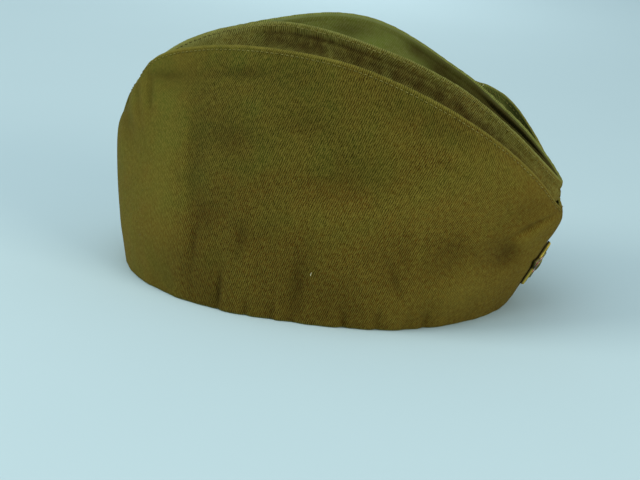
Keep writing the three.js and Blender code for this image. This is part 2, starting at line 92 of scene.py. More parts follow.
# From the rear seam (-1) to the front seam (1). Height is a share of FLAP_HEIGHT, and rim, right and
# left are how full the plan is at the rim and at each flap's upper edge.
FLAP_EDGE = table("station height rim right left left_drop", [
    (-1.00, 0.695, 1.04, 0.85, 0.85, 0.000),
    (-0.95, 0.757, 1.04, 0.85, 0.85, 0.005),
    (-0.90, 0.835, 1.04, 0.77, 0.77, 0.022),
    (-0.80, 0.899, 1.04, 0.74, 0.72, 0.030),
    (-0.65, 0.946, 1.03, 0.76, 0.74, 0.028),
    (-0.50, 0.976, 1.03, 0.83, 0.81, 0.026),
    (-0.30, 0.998, 1.02, 0.93, 0.92, 0.012),
    (-0.10, 0.998, 1.00, 0.99, 0.99, 0.000),
    (0.10, 0.974, 1.00, 1.00, 1.00, 0.000),
    (0.30, 0.920, 1.01, 0.99, 0.97, 0.008),
    (0.50, 0.844, 1.02, 0.99, 1.00, 0.008),
    (0.60, 0.796, 1.02, 1.00, 1.12, -0.010),
    (0.70, 0.739, 1.00, 1.02, 1.24, -0.012),
    (0.80, 0.664, 0.96, 1.00, 1.24, -0.010),
    (0.88, 0.590, 0.92, 0.94, 1.12, -0.012),
    (0.95, 0.510, 0.87, 0.86, 0.92, -0.009),
    (1.00, 0.435, 0.84, 0.75, 0.75, -0.006),
])

# Folds that the solids have too. Along is a share of half the rim's length, up, length and width are
# shares of FLAP_HEIGHT, turn is in degrees from level, and depth a share of the cloth's thickness.
FOLD_COLUMNS = "along up turn length width depth"
RIGHT_FOLDS = table(FOLD_COLUMNS, [
    (-0.35, 0.21, 87, 0.24, 0.045, -0.85),
    (-0.28, 0.20, 87, 0.22, 0.060, 0.45),
    (-0.69, 0.03, 82, 0.12, 0.055, -0.45),
    (-0.47, 0.03, 94, 0.12, 0.050, -0.40),
    (0.02, 0.04, 86, 0.12, 0.055, -0.40),
    (0.29, 0.05, 94, 0.12, 0.055, -0.40),
    (0.63, 0.05, 80, 0.13, 0.060, -0.45),
    (0.24, 0.55, 8, 0.36, 0.075, -0.95),
    (0.36, 0.44, 4, 0.30, 0.085, 0.80),
    (0.59, 0.79, -20, 0.20, 0.060, -0.80),
    (-0.57, 0.54, 97, 0.22, 0.055, -0.55),
    (-0.79, 0.80, 4, 0.13, 0.050, -0.80),
    (-0.36, 0.89, 2, 0.18, 0.045, -0.45),
    (-1.02, 0.60, -50, 0.13, 0.050, -1.00),
    (0.98, 0.44, 6, 0.18, 0.055, -0.80),
    (0.99, 0.29, 36, 0.10, 0.070, -0.70),
])
LEFT_FOLDS = table(FOLD_COLUMNS, [
    (-0.40, 0.20, 92, 0.23, 0.050, -0.75),
    (-0.32, 0.20, 92, 0.22, 0.060, 0.45),
    (-0.72, 0.03, 84, 0.12, 0.055, -0.45),
    (-0.02, 0.04, 88, 0.12, 0.055, -0.40),
    (0.34, 0.05, 94, 0.12, 0.055, -0.40),
    (0.60, 0.05, 84, 0.13, 0.060, -0.45),
    (0.12, 0.56, 5, 0.34, 0.080, -0.85),
    (0.00, 0.43, 2, 0.28, 0.085, 0.60),
    (0.50, 0.70, -24, 0.20, 0.060, -0.70),
    (-0.62, 0.56, 84, 0.22, 0.055, -0.55),
    (-0.84, 0.76, 8, 0.13, 0.050, -0.80),
    (0.95, 0.40, 10, 0.18, 0.055, -0.70),
])

# Smaller folds and creases of the outer layer alone, in the same columns. The last ones gather the cloth
# along the rim.
RIGHT_CREASES = table(FOLD_COLUMNS, [
    (-0.345, 0.07, 88, 0.09, 0.013, -0.60),
    (-0.35, 0.24, 87, 0.16, 0.045, 0.35),
    (-0.255, 0.29, 86, 0.09, 0.028, -0.50),
    (-0.44, 0.36, 80, 0.07, 0.050, -0.30),
    (-0.50, 0.24, 88, 0.10, 0.018, -0.40),
    (-0.54, 0.54, 100, 0.16, 0.050, -0.12),
    (-0.60, 0.50, 99, 0.20, 0.018, 0.28),
    (-0.70, 0.45, 92, 0.22, 0.090, 0.30),
    (-0.79, 0.806, 12, 0.09, 0.014, -0.35),
    (-0.37, 0.885, 10, 0.11, 0.016, -0.45),
    (-0.87, 0.72, 105, 0.06, 0.016, -0.50),
    (-0.95, 0.70, -66, 0.12, 0.018, -0.35),
    (-0.40, 0.66, 5, 0.12, 0.050, -0.30),
    (-0.02, 0.75, 5, 0.09, 0.050, -0.28),
    (0.05, 0.17, 90, 0.11, 0.030, -0.40),
    (0.51, 0.20, 112, 0.08, 0.018, -0.40),
    (0.60, 0.32, 88, 0.13, 0.018, 0.22),
    (0.76, 0.33, 80, 0.10, 0.060, -0.42),
    (0.88, 0.17, 20, 0.13, 0.080, 0.40),
    (0.82, 0.60, -25, 0.15, 0.100, 0.45),
    (0.90, 0.44, 6, 0.10, 0.050, 0.50),
    (0.24, 0.55, 8, 0.30, 0.070, 0.30),
    (1.045, 0.325, 36, 0.035, 0.060, 0.50),
    (1.10, 0.378, 24, 0.08, 0.012, -0.60),
    (1.10, 0.335, 38, 0.07, 0.030, 0.45),
    (1.00, 0.265, 58, 0.07, 0.036, -0.45),
    (0.70, 0.63, -28, 0.12, 0.016, -0.25),
    (0.68, 0.12, 8, 0.18, 0.090, 0.45),
    (-0.20, 0.02, 90, 0.05, 0.013, -0.40),
    (-0.07, 0.02, 86, 0.05, 0.013, -0.40),
    (0.28, 0.02, 92, 0.05, 0.013, -0.40),
    (0.44, 0.03, 88, 0.05, 0.013, -0.40),
    (0.66, 0.04, 84, 0.06, 0.014, -0.42),
])
LEFT_CREASES = table(FOLD_COLUMNS, [
    (-0.44, 0.14, 93, 0.14, 0.014, -0.42),
    (-0.66, 0.62, 82, 0.12, 0.013, -0.28),
    (-0.88, 0.74, -58, 0.11, 0.013, -0.38),
    (-0.40, 0.86, 3, 0.12, 0.012, -0.28),
    (0.88, 0.40, 16, 0.14, 0.014, -0.42),
    (0.98, 0.34, 38, 0.09, 0.014, -0.40),
    (0.30, 0.60, -4, 0.16, 0.014, -0.24),
    (-0.05, 0.12, 88, 0.08, 0.013, -0.26),
])


def value_at(rows, column, at):
    """A column at any place: the cubic between two rows whose slope at each row is the slope of the
    straight line between that row's neighbours."""
    place = next(iter(rows.values()))
    value = rows[column]
    last = len(place) - 1
    before = np.maximum(np.arange(last + 1) - 1, 0)
    after = np.minimum(np.arange(last + 1) + 1, last)
    slope = (value[after] - value[before]) / (place[after] - place[before])
    row = np.clip(np.searchsorted(place, at) - 1, 0, last - 1)
    span = place[row + 1] - place[row]
    s = np.clip((at - place[row]) / span, 0, 1)
    return (
        (2 * s**3 - 3 * s**2 + 1) * value[row]
        + (s**3 - 2 * s**2 + s) * span * slope[row]
        + (3 * s**2 - 2 * s**3) * value[row + 1]
        + (s**3 - s**2) * span * slope[row + 1]
    )


def station_at(share):
    """Station of a share along a panel: minus the cosine of the share times a half turn."""
    return -np.cos(np.pi * share)


def oval_at(station):
    """Half width of a unit circle at a station."""
    return np.sqrt(np.maximum(0, 1 - station**2))


def lerp(a, b, share):
    """The point that share of the way from a to b."""
    return a + (b - a) * share


def bell(value, width, power=2):
    """A bell round zero: e to the power of minus the value over the width, raised to an even power."""
    return np.exp(-((value / width) ** power))


def soft_step(value, place, softness):
    """A smooth step from 0 to 1: one over one plus e to the power of the distance below its place,
    over its softness."""
    return 1 / (1 + np.exp((place - value) / softness))


def flap_point(share, level, side):
    """The smooth outside of a flap. x runs between the rear and front reach of that level, y is the
    half width times the oval and its fullness, z the height of the edge times the level."""
    station = station_at(share)
    rear = value_at(FLAP_SECTIONS, "rear", level) * RIM_LENGTH / 2
    front = value_at(FLAP_SECTIONS, "front", level) * RIM_LENGTH / 2
    half_width = value_at(FLAP_SECTIONS, "half_width", level) * RIM_WIDTH / 2
    rim_fullness = value_at(FLAP_EDGE, "rim", station)
    edge_fullness = value_at(FLAP_EDGE, "right" if side < 0 else "left", station)
    fullness = lerp(rim_fullness, edge_fullness, level**EDGE_BLEND)
    x = (front - rear) / 2 + (front + rear) / 2 * station
    y = side * half_width * oval_at(station) * fullness
    return np.stack([x, y, flap_edge_height(share, side) * level], axis=-1)


def flap_edge_height(share, side):
    """Height of a flap's upper edge above the rim, from its table."""
    station = station_at(share)
    drop = value_at(FLAP_EDGE, "left_drop", station) if side > 0 else 0
    return (value_at(FLAP_EDGE, "height", station) - drop) * FLAP_HEIGHT


def fold_depth(points, folds):
    """How far folds push the cloth out: each is its depth times a bell of the distance along and
    across its own direction, in the plane of x and z."""
    depth = np.zeros(points.shape[:-1])
    for along, up, turn, length, width, height in np.stack(list(folds.values()), axis=-1):
        x = points[..., 0] - along * RIM_LENGTH / 2
        z = points[..., 2] - up * FLAP_HEIGHT
        angle = np.radians(turn)
        lengthwise = (x * np.cos(angle) + z * np.sin(angle)) / (length * FLAP_HEIGHT)
        crosswise = (z * np.cos(angle) - x * np.sin(angle)) / (width * FLAP_HEIGHT)
        depth += height * FLAP_CLOTH * np.exp(-(lengthwise**2) - crosswise**2)
    return depth


def unit(vectors):
    """Vectors divided by their lengths."""
    return vectors / np.maximum(np.linalg.norm(vectors, axis=-1, keepdims=True), 1e-12)


def grid_normals(grid, turn):
    """Normals of a grid: the cross product of its two directions, times turn."""
    along = np.gradient(grid, axis=0)
    up = np.gradient(grid, axis=1)
    return unit(np.cross(along, up) * turn)


def side_normals(grid, side):
    """Outward normals of a side's grid, level along the rim and in the seams' plane at both ends."""
    normals = grid_normals(grid, -side)
    normals[:, 0, 2] = 0
    normals[[0, -1], :, 1] = 0
    return unit(normals)


def offset_grid(grid, normals, distance, side):
    """A grid moved along its normals by a distance, kept half a seam's gap off the middle plane."""
    moved = grid + normals * np.asarray(distance)[..., None]
    moved[..., 1] = side * np.maximum(side * moved[..., 1], SEAM_GAP / 2)
    return moved


def folded_flap_grid(share, level, side):
    """The outside of a flap with the folds that the solids have."""
    smooth = flap_point(share, level, side)
    folds = RIGHT_FOLDS if side < 0 else LEFT_FOLDS
    return smooth + side_normals(smooth, side) * fold_depth(smooth, folds)[..., None]


def rolled_levels(height, roll, columns, rows):
    """Levels from the rim to the edge of a panel, short of both by the roll of its edge."""
    inset = (roll / height)[:, None]
    return inset + np.linspace(0, 1, rows + 1)[None, :] * (1 - 2 * inset) * np.ones((columns + 1, 1))


def lengths_along(grid, axis):
    """Length of cloth from the first point of each line of a grid."""
    steps = np.linalg.norm(np.diff(grid, axis=axis), axis=-1)
    start = np.zeros_like(np.take(steps, [0], axis=axis))
    return np.concatenate([start, np.cumsum(steps, axis=axis)], axis=axis)


def random_creases(seed, count, depth):
    """Small creases strewn over a flap: short, narrow, a little in or out, steeper near the rim."""
    random = np.random.default_rng(seed)
    up = random.uniform(0.04, 0.94, count)
    lean = random.normal(0, 24, count)
    return dict(
        along=random.uniform(-1.05, 1.2, count),
        up=up,
        turn=np.where(up < 0.3, 90 + lean, random.uniform(-60, 60, count)),
        length=random.uniform(0.05, 0.15, count),
        width=random.uniform(0.012, 0.028, count),
        depth=random.uniform(-depth, depth * 0.7, count),
    )


def soft_waves(first, second, seed, height, length):
    """Unevenness of cloth: a height times the mean of seven plane waves of about that length."""
    random = np.random.default_rng(seed)
    total = np.zeros(np.broadcast(first, second).shape)
    for angle, phase, stretch in zip(
        random.uniform(0, np.pi, 7), random.uniform(0, 2 * np.pi, 7), random.uniform(0.7, 1.5, 7)
    ):
        across = first * np.cos(angle) + second * np.sin(angle)
        total += np.sin(2 * np.pi * across / (length * stretch) + phase)
    return height * (total / 7)


def badge_frame():
    """The badge's middle on the front seam, and its directions to the left, up the seam and out. It
    hangs from its pin turned a little to the right. The last is how far its back stands off the seam."""
    levels = np.array([BADGE_LEVEL - BADGE_SPAN, BADGE_LEVEL, BADGE_LEVEL + BADGE_SPAN])
    low, middle, high = flap_point(np.ones(3), levels, -1) * (1, 0, 1)
    up = unit(high - low)
    left = np.array([0.0, 1.0, 0.0])
    out = np.cross(left, up)
    turned_left = left * np.cos(BADGE_TURN) + out * np.sin(BADGE_TURN)
    star = np.array([v.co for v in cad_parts["badge_star"].data.vertices])
    seat = ((star - RIM_MIDDLE - middle) @ out).min()
    return middle, turned_left, up, np.cross(turned_left, up), seat


badge_middle, badge_left, badge_up, badge_out, badge_seat = badge_frame()


def flap_relief(grid, side, along, up, down):
    """What the outer layer adds to the folds: sharp creases, strewn small ones, broad waves, gathers
    at the rim, the groove of the stitches below the edge and the pull of the seams at both ends.
    Behind the badge the cloth is drawn to the badge's back, over the gap along its own normal."""
    seed = 11 if side < 0 else 23
    relief = fold_depth(grid, RIGHT_CREASES if side < 0 else LEFT_CREASES)
    relief += fold_depth(grid, random_creases(seed, SMALL_CREASES, SMALL_CREASE_DEPTH))
    relief += soft_waves(along, up, seed + 1, *BROAD_WAVES)
    relief += soft_waves(along, up * 0.15, seed + 2, *RIM_GATHERS) * np.exp(-up / 0.012)
    relief += soft_waves(along, down * 0.2, seed + 3, *EDGE_PUCKERS) * np.exp(-down / 0.006)
    pull = STITCH_PULL * (1 + 0.7 * np.cos(2 * np.pi * along / STITCH_PITCH))
    relief -= pull * bell(down - EDGE_STITCH_INSET, 0.0007)
    relief -= EDGE_GROOVE * np.exp(-down / 0.0010)
    seam = np.minimum(along, along[-1:] - along)
    relief += soft_waves(along * 0.2, up, seed + 4, *SEAM_PUCKERS) * np.exp(-seam / 0.007)
    relief -= SEAM_GROOVE * bell(seam, 0.0011)
    behind_badge = bell(up - 0.023, 0.0175, 6) * bell(along[-1:] - along, 0.014, 4)
    badge_back = badge_middle + badge_out * (badge_seat - BADGE_TOUCH)
    gap = (badge_back - grid) @ badge_out / np.maximum(side_normals(grid, side) @ badge_out, 0.3)
    return lerp(relief, np.clip(gap, -DRAWN_IN, DRAWN_OUT), behind_badge)


def tube_quads(index, reverse=False):
    """Quads between rings of points that follow each other, each ring closed on itself."""
    ahead = np.roll(index, -1, axis=-1)
    corners = [index[..., :-1, :], index[..., 1:, :], ahead[..., 1:, :], ahead[..., :-1, :]]
    if reverse:
        corners[1::2] = corners[3::-2]
    return np.stack(corners, axis=-1).reshape(-1, 4)


def shell_piece(name, outer, inner, side, cloth, masks):
    """A closed panel. Each section runs up the outer grid, over a half round edge, down the inner
    grid and round the other edge, and sections are joined into rings by quads."""
    columns, rows = outer.shape[:2]
    turn = np.radians([45, 90, 135])[:, None, None]

    def roll(a, b, before):
        middle = (a + b) / 2
        reach = (a - b) / 2
        onward = unit(a - before) * np.linalg.norm(reach, axis=-1, keepdims=True)
        return (middle + reach * np.cos(turn) + onward * np.sin(turn)).transpose(1, 0, 2)

    top = roll(outer[:, -1], inner[:, -1], outer[:, -2])
    bottom = roll(inner[:, 0], outer[:, 0], inner[:, 1])
    loop = np.concatenate([outer, top, inner[:, ::-1], bottom], axis=1)
    loop[..., 2] = np.maximum(loop[..., 2], 0)
    size = loop.shape[1]
    index = np.arange(columns * size).reshape(columns, size)
    quads = tube_quads(index)
    j = np.arange(rows - 1)
    far = 2 * rows + 2 - j
    ends = [
        np.stack([index[c, j], index[c, j + 1], index[c, far - 1], index[c, far]], axis=-1) for c in (0, -1)
    ]
    ends[1] = ends[1][:, ::-1]
    if side > 0:
        quads = quads[:, ::-1]
        ends = [end[:, ::-1] for end in ends]
    faces = [*quads.tolist(), *ends[0].tolist(), *ends[1].tolist()]
    for column, reverse in ((0, side > 0), (columns - 1, side < 0)):
        for loop_end in (range(rows - 1, rows + 4), [*range(size - 4, size), 0]):
            corner = index[column, list(loop_end)].tolist()
            faces.append(corner[::-1] if reverse else corner)
    zeros = np.zeros((columns, rows))
    halves = np.full((columns, 3), 0.5)
    # The inside mask carries the unfaded green, partly painted light; it runs into the inner part of the
    # upper roll.
    spread = {"inside": np.concatenate([zeros, halves * (0.2, 0.8, 1.6), zeros + 1, halves], axis=1)}
    for mask, values in masks.items():
        edge = np.repeat(values[:, -1:], 3, axis=1)
        foot = np.repeat(values[:, :1], 3, axis=1)
        spread[mask] = np.concatenate([values, edge, values[:, ::-1], foot], axis=1)
    return make_piece(name, loop.reshape(-1, 3), faces, cloth, spread)


def make_piece(name, points, faces, material, masks):
    """A smooth mesh object on the cap's body. Masks u and v become its UV map, in metres, and each
    other mask an attribute of its points."""
    mesh = bpy.data.meshes.new(name)
    mesh.from_pydata((points + RIM_MIDDLE).tolist(), [], faces)
    mesh.shade_smooth()
    corner = np.empty(len(mesh.loops), int)
    mesh.loops.foreach_get("vertex_index", corner)
    if "u" in masks:
        uv = np.stack([masks["u"].ravel(), masks["v"].ravel()], axis=-1)[corner]
        mesh.uv_layers.new(name="cloth").data.foreach_set("uv", uv.ravel())
    for mask in sorted(set(masks) - {"u", "v"}):
        mesh.attributes.new(mask, "FLOAT", "POINT").data.foreach_set("value", masks[mask].ravel())
    mesh.materials.append(material)
    piece = bpy.data.objects.new(name, mesh)
    bpy.context.scene.collection.objects.link(piece)
    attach(piece, "root")
    return piece


def maths(tree, operation, *values):
    """A Math node of the tree, fed by sockets or numbers. Its result's socket."""
    node = tree.nodes.new("ShaderNodeMath")
    node.operation = operation
    for socket, value in zip(node.inputs, values):
        if isinstance(value, bpy.types.NodeSocket):
            tree.links.new(value, socket)
        else:
            socket.default_value = value
    return node.outputs[0]


def noise(tree, vector, scale, detail=2.0, roughness=0.5):
    """A Noise Texture of the tree on a vector socket. Its value's socket."""
    node = tree.nodes.new("ShaderNodeTexNoise")
    node.inputs["Scale"].default_value = scale
    node.inputs["Detail"].default_value = detail
    node.inputs["Roughness"].default_value = roughness
    tree.links.new(vector, node.inputs["Vector"])
    return node.outputs["Fac"]


def ramp(tree, value, low, high, result_low=0.0, result_high=1.0):
    """A Map Range node, clamped. Its result's socket."""
    node = tree.nodes.new("ShaderNodeMapRange")
    tree.links.new(value, node.inputs["Value"])
    for socket, number in zip(list(node.inputs)[1:5], (low, high, result_low, result_high)):
        socket.default_value = number
    return node.outputs["Result"]


def mix(tree, share, first, second, blend="MIX"):
    """A colour Mix node, fed by sockets or colours. Its result's socket."""
    node = tree.nodes.new("ShaderNodeMix")
    node.data_type = "RGBA"
    node.blend_type = blend
    colour_sockets = [s for s in node.inputs if s.type == "RGBA"]
    for socket, value in zip((node.inputs[0], *colour_sockets), (share, first, second)):
        if isinstance(value, bpy.types.NodeSocket):
            tree.links.new(value, socket)
        elif socket.type == "RGBA":
            socket.default_value = (*value, 1.0)
        else:
            socket.default_value = value
    return next(s for s in node.outputs if s.type == "RGBA")


def new_material(name):
    """A material, its node tree and its shader node."""
    material = bpy.data.materials.new(name)
    material.use_nodes = True
    return material, material.node_tree, material.node_tree.nodes["Principled BSDF"]


def object_place(tree):
    """The socket of the place on the object."""
    return tree.nodes.new("ShaderNodeTexCoord").outputs["Object"]


def cloth_uv(tree):
    """The socket of the cloth's UV map."""
    node = tree.nodes.new("ShaderNodeUVMap")
    node.uv_map = "cloth"
    return node.outputs["UV"]


def point_mask(tree, name):
    """The socket of an attribute of the points."""
    node = tree.nodes.new("ShaderNodeAttribute")
    node.attribute_name = name
    return node.outputs["Fac"]


def raise_bump(tree, shader, height, distance, strength=1.0):
    """Bends a shader's normals by a height socket times a distance in metres."""
    node = tree.nodes.new("ShaderNodeBump")
    node.inputs["Strength"].default_value = strength
    node.inputs["Distance"].default_value = distance
    tree.links.new(height, node.inputs["Height"])
    tree.links.new(node.outputs["Normal"], shader.inputs["Normal"])


def group_tree(name, inputs, outputs):
    """A shader node group with named number, vector or colour sockets, and its two end nodes."""
    tree = bpy.data.node_groups.new(name, "ShaderNodeTree")
    for socket, kind in inputs:
        tree.interface.new_socket(socket, in_out="INPUT", socket_type=kind)
    for socket, kind in outputs:
        tree.interface.new_socket(socket, in_out="OUTPUT", socket_type=kind)
    return tree, tree.nodes.new("NodeGroupInput"), tree.nodes.new("NodeGroupOutput")


# Twill weave: slanting ribs, each made of short floats of yarn that lie a little across it
FLOAT, VECTOR, COLOUR = "NodeSocketFloat", "NodeSocketVector", "NodeSocketColor"
twill, weave_in, weave_out = group_tree(
    "twill_weave",
    [("Cloth", VECTOR), ("Rib Spacing", FLOAT), ("Rib Slant", FLOAT)],
    [("Height", FLOAT), ("Rib", FLOAT), ("Yarn", FLOAT)],
)
cloth_place = weave_in.outputs["Cloth"]
split = twill.nodes.new("ShaderNodeSeparateXYZ")
twill.links.new(cloth_place, split.inputs[0])
u, v = split.outputs["X"], split.outputs["Y"]
sine = maths(twill, "SINE", weave_in.outputs["Rib Slant"])
cosine = maths(twill, "COSINE", weave_in.outputs["Rib Slant"])
waver = maths(twill, "MULTIPLY", noise(twill, cloth_place, 150.0, 4.0, 0.7), 0.0006)
jog = maths(twill, "MULTIPLY", noise(twill, cloth_place, 520.0, 2.0, 0.6), 0.0010)
waver = maths(twill, "ADD", waver, jog)
across = maths(twill, "SUBTRACT", maths(twill, "MULTIPLY", u, sine), maths(twill, "MULTIPLY", v, cosine))
along = maths(twill, "ADD", maths(twill, "MULTIPLY", u, cosine), maths(twill, "MULTIPLY", v, sine))
across = maths(twill, "DIVIDE", maths(twill, "ADD", across, waver), weave_in.outputs["Rib Spacing"])
along = maths(twill, "DIVIDE", along, weave_in.outputs["Rib Spacing"])
rib_wave = maths(twill, "COSINE", maths(twill, "MULTIPLY", across, 2 * np.pi))
rib = maths(twill, "POWER", maths(twill, "MULTIPLY_ADD", rib_wave, 0.5, 0.5), 0.7)
float_turns = maths(twill, "MULTIPLY_ADD", along, 1.6, maths(twill, "MULTIPLY", across, 0.5))
float_wave = maths(twill, "COSINE", maths(twill, "MULTIPLY", float_turns, 2 * np.pi))
yarn_float = maths(twill, "MULTIPLY_ADD", float_wave, 0.10, 0.90)
rib_place = twill.nodes.new("ShaderNodeCombineXYZ")
twill.links.new(across, rib_place.inputs[0])
twill.links.new(maths(twill, "MULTIPLY", along, 0.35), rib_place.inputs[1])
worn_rib = ramp(twill, noise(twill, cloth_place, 380.0, 2.0, 0.6), 0.34, 0.54, 0.65, 1.0)
rib = maths(twill, "SUBTRACT", 1.0, maths(twill, "MULTIPLY", maths(twill, "SUBTRACT", 1.0, rib), worn_rib))
twill.links.new(maths(twill, "MULTIPLY", rib, yarn_float), weave_out.inputs["Height"])
twill.links.new(rib, weave_out.inputs["Rib"])
twill.links.new(noise(twill, rib_place.outputs[0], 1.3, 2.0, 0.7), weave_out.inputs["Yarn"])

# Worn dye: broad blotches where the colour turns brown or green, browner towards the front and low down,
# and a paler line on worn edges. The rear end is paler as painted light. The weave shows least at both ends.
dye, dye_in, dye_out = group_tree(
    "worn_dye_and_lit_rear",
    [("Place", VECTOR), ("Edge", FLOAT), ("Base", COLOUR), ("Brown", COLOUR), ("Pale", COLOUR)],
    [("Colour", COLOUR), ("Weave Shown", FLOAT)],
)
dye_place = dye_in.outputs["Place"]
pale_dye = dye_in.outputs["Pale"]
place_axes = dye.nodes.new("ShaderNodeSeparateXYZ")
dye.links.new(dye_place, place_axes.inputs[0])
from_middle, from_floor = place_axes.outputs["X"], place_axes.outputs["Z"]
blotch = ramp(dye, noise(dye, dye_place, 52.0, 5.0, 0.62), 0.36, 0.64, -0.45, 0.55)
forward = maths(dye, "MULTIPLY_ADD", from_floor, -0.7, from_middle)
front_warmth = ramp(dye, forward, -0.10, 0.07, 0.0, 0.72)
low_warmth = ramp(dye, from_floor, 0.09, 0.03, 0.0, 0.80)
warmth = maths(dye, "MULTIPLY_ADD", blotch, 1.0, maths(dye, "ADD", front_warmth, low_warmth))
browned = mix(dye, ramp(dye, warmth, -0.4, 1.1), dye_in.outputs["Base"], dye_in.outputs["Brown"])
# Painted light: the colour turns paler towards the rear end.
lit_rear = mix(dye, ramp(dye, from_middle, -0.058, -0.076, 0.0, 0.20), browned, pale_dye)
fleck = ramp(dye, noise(dye, dye_place, 260.0, 3.0, 0.7), 0.58, 0.78, 0.0, 0.18)
flecked = mix(dye, fleck, lit_rear, pale_dye)
rub = maths(dye, "MULTIPLY", ramp(dye, dye_in.outputs["Edge"], 0.0006, 0.0013, 1.0, 0.0), 0.80)
rub = maths(dye, "MULTIPLY", rub, ramp(dye, noise(dye, dye_place, 90.0, 3.0), 0.3, 0.6, 0.45, 1.0))
thin = mix(dye, 1.0, pale_dye, (1.12, 1.20, 1.45), "MULTIPLY")
dye.links.new(mix(dye, rub, flecked, thin), dye_out.inputs["Colour"])
shown = ramp(dye, noise(dye, dye_place, 55.0, 3.0), 0.35, 0.65, 0.75, 1.0)
shown = maths(dye, "MULTIPLY", shown, ramp(dye, from_middle, -0.078, -0.058, 0.25, 1.0))
shown = maths(dye, "MULTIPLY", shown, ramp(dye, from_middle, 0.080, 0.100, 1.0, 0.40))
dye.links.new(shown, dye_out.inputs["Weave Shown"])


def cloth_material(name, base, brown, pale, groove=1.0, rib_depth=0.00020):
    """Cotton twill: worn dye over the weave, painted shade between the ribs, browner painted shade in hollows
    of the folds and wherever the relief mask sinks below zero, paler on what stands out, and unfaded green on
    the side that doesn't wear, made light as painted light."""
    material, tree, shader = new_material(name)
    place = object_place(tree)
    weave = tree.nodes.new("ShaderNodeGroup")
    weave.node_tree = twill
    tree.links.new(cloth_uv(tree), weave.inputs["Cloth"])
    weave.inputs["Rib Spacing"].default_value = RIB_SPACING
    weave.inputs["Rib Slant"].default_value = RIB_SLANT
    rib = weave.outputs["Rib"]
    worn = tree.nodes.new("ShaderNodeGroup")
    worn.node_tree = dye
    # The relief mask: below zero it brings painted shade, above zero a paler rub on what stands out.
    relief = point_mask(tree, "relief")
    tree.links.new(place, worn.inputs["Place"])
    tree.links.new(point_mask(tree, "edge"), worn.inputs["Edge"])
    for socket, colour in (("Base", base), ("Brown", brown), ("Pale", pale)):
        worn.inputs[socket].default_value = (*colour, 1.0)
    # Painted shade between the ribs: the grooves are darkened towards a near-black brown, by the groove
    # share.
    rib_groove_shade = ramp(tree, rib, 0.0, 0.75, groove, 0.0)
    rib_groove_shade = maths(tree, "MULTIPLY", rib_groove_shade, worn.outputs["Weave Shown"])
    groove_shaded = mix(tree, rib_groove_shade, worn.outputs["Colour"], tuple(c * 0.05 for c in brown))
    light_yarn = maths(tree, "MULTIPLY", ramp(tree, weave.outputs["Yarn"], 0.30, 0.60, 0.0, 0.95), rib)
    yarns = mix(tree, light_yarn, groove_shaded, tuple(c * 0.85 for c in pale))
    # Painted shade: a brown darkening where the relief mask sinks below zero.
    painted_shade = mix(tree, ramp(tree, relief, 0.0, -0.0024), yarns, (0.34, 0.27, 0.20), "MULTIPLY")
    rubbed = mix(tree, ramp(tree, relief, 0.0, 0.0012, 0.0, 0.22), painted_shade, pale)
    # Unfaded green on the inner side, partly its own colour and partly painted light where the far flap's
    # inner face lies in shade.
    unfaded_and_lit = maths(tree, "MULTIPLY", point_mask(tree, "inside"), ramp(tree, rib, 0.0, 1.0, 0.35, 0.85))
    tree.links.new(mix(tree, unfaded_and_lit, rubbed, UNFADED_AND_LIT_GREEN), shader.inputs["Base Color"])
    tree.links.new(ramp(tree, rib, 0.0, 1.0, 0.98, 0.86), shader.inputs["Roughness"])
    shader.inputs["Specular IOR Level"].default_value = 0.05
    shader.inputs["Sheen Weight"].default_value = 0.04
    shader.inputs["Sheen Roughness"].default_value = 0.5
    shader.inputs["Sheen Tint"].default_value = (0.60, 0.52, 0.15, 1.0)
    nap = noise(tree, place, 1500.0, 3.0, 0.7)
    height = maths(tree, "MULTIPLY_ADD", nap, 0.25, weave.outputs["Height"])
    raise_bump(tree, shader, height, rib_depth, 0.85)
    return material


# Green of the unfaded inner side, made light enough to act as painted light on the far flap's shaded inner
# face.
UNFADED_AND_LIT_GREEN = (0.165, 0.215, 0.052)
RIB_SPACING = 0.00097
RIB_SLANT = np.radians(71.5)
flap_twill = cloth_material(
    "flap_twill", (0.047, 0.060, 0.0044), (0.086, 0.045, 0.0032), (0.166, 0.140, 0.022)
)


def flap_cloth(side):
    """A flap's outer and inner grid, and the masks that its cloth is coloured by. Near the front the
    left flap's upper edge curls outwards. The grain turns as it rises, by the square of the height.
    Its colour takes painted shade in its folds and over the middle of the side, and is darker low down near
    the front."""
    share = np.linspace(0, 1, FLAP_COLUMNS + 1)
    height = flap_edge_height(share, side)
    level = rolled_levels(height, FLAP_CLOTH / 2, FLAP_COLUMNS, FLAP_ROWS)
    grid = folded_flap_grid(share[:, None] * np.ones_like(level), level, side)
    up = lengths_along(grid, 1)
    down = up[:, -1:] - up
    station = station_at(share)[:, None]
    if side > 0:
        grid[..., 1] += EDGE_CURL * bell(station - 0.72, 0.13) * bell(down, 0.010)
    along = lengths_along(grid[:, FLAP_ROWS // 3][:, None], 0) * np.ones_like(up)
    relief = flap_relief(grid, side, along, up, down)
    normals = side_normals(grid, side)
    outer = offset_grid(grid, normals, relief, side)
    inner = offset_grid(grid, normals, np.minimum(relief + INNER_EASE, 0) - FLAP_CLOTH, side)
    folds = fold_depth(grid, RIGHT_FOLDS if side < 0 else LEFT_FOLDS)
    # Painted shade in hollows and folds and over the middle of the side, and a darker patch low near the
    # front. The edge's groove is kept out.
    painted_shade = relief + 0.0010 * np.exp(-down / 0.0010) + 0.42 * folds
    painted_shade -= 0.00050 * bell(station + 0.12, 0.62, 4)
    painted_shade -= 0.00045 * bell(station - 0.80, 0.28) * bell(up, 0.040, 4)
    return outer, inner, dict(u=along + 0.8 * up**2, v=up, edge=down, relief=painted_shade)


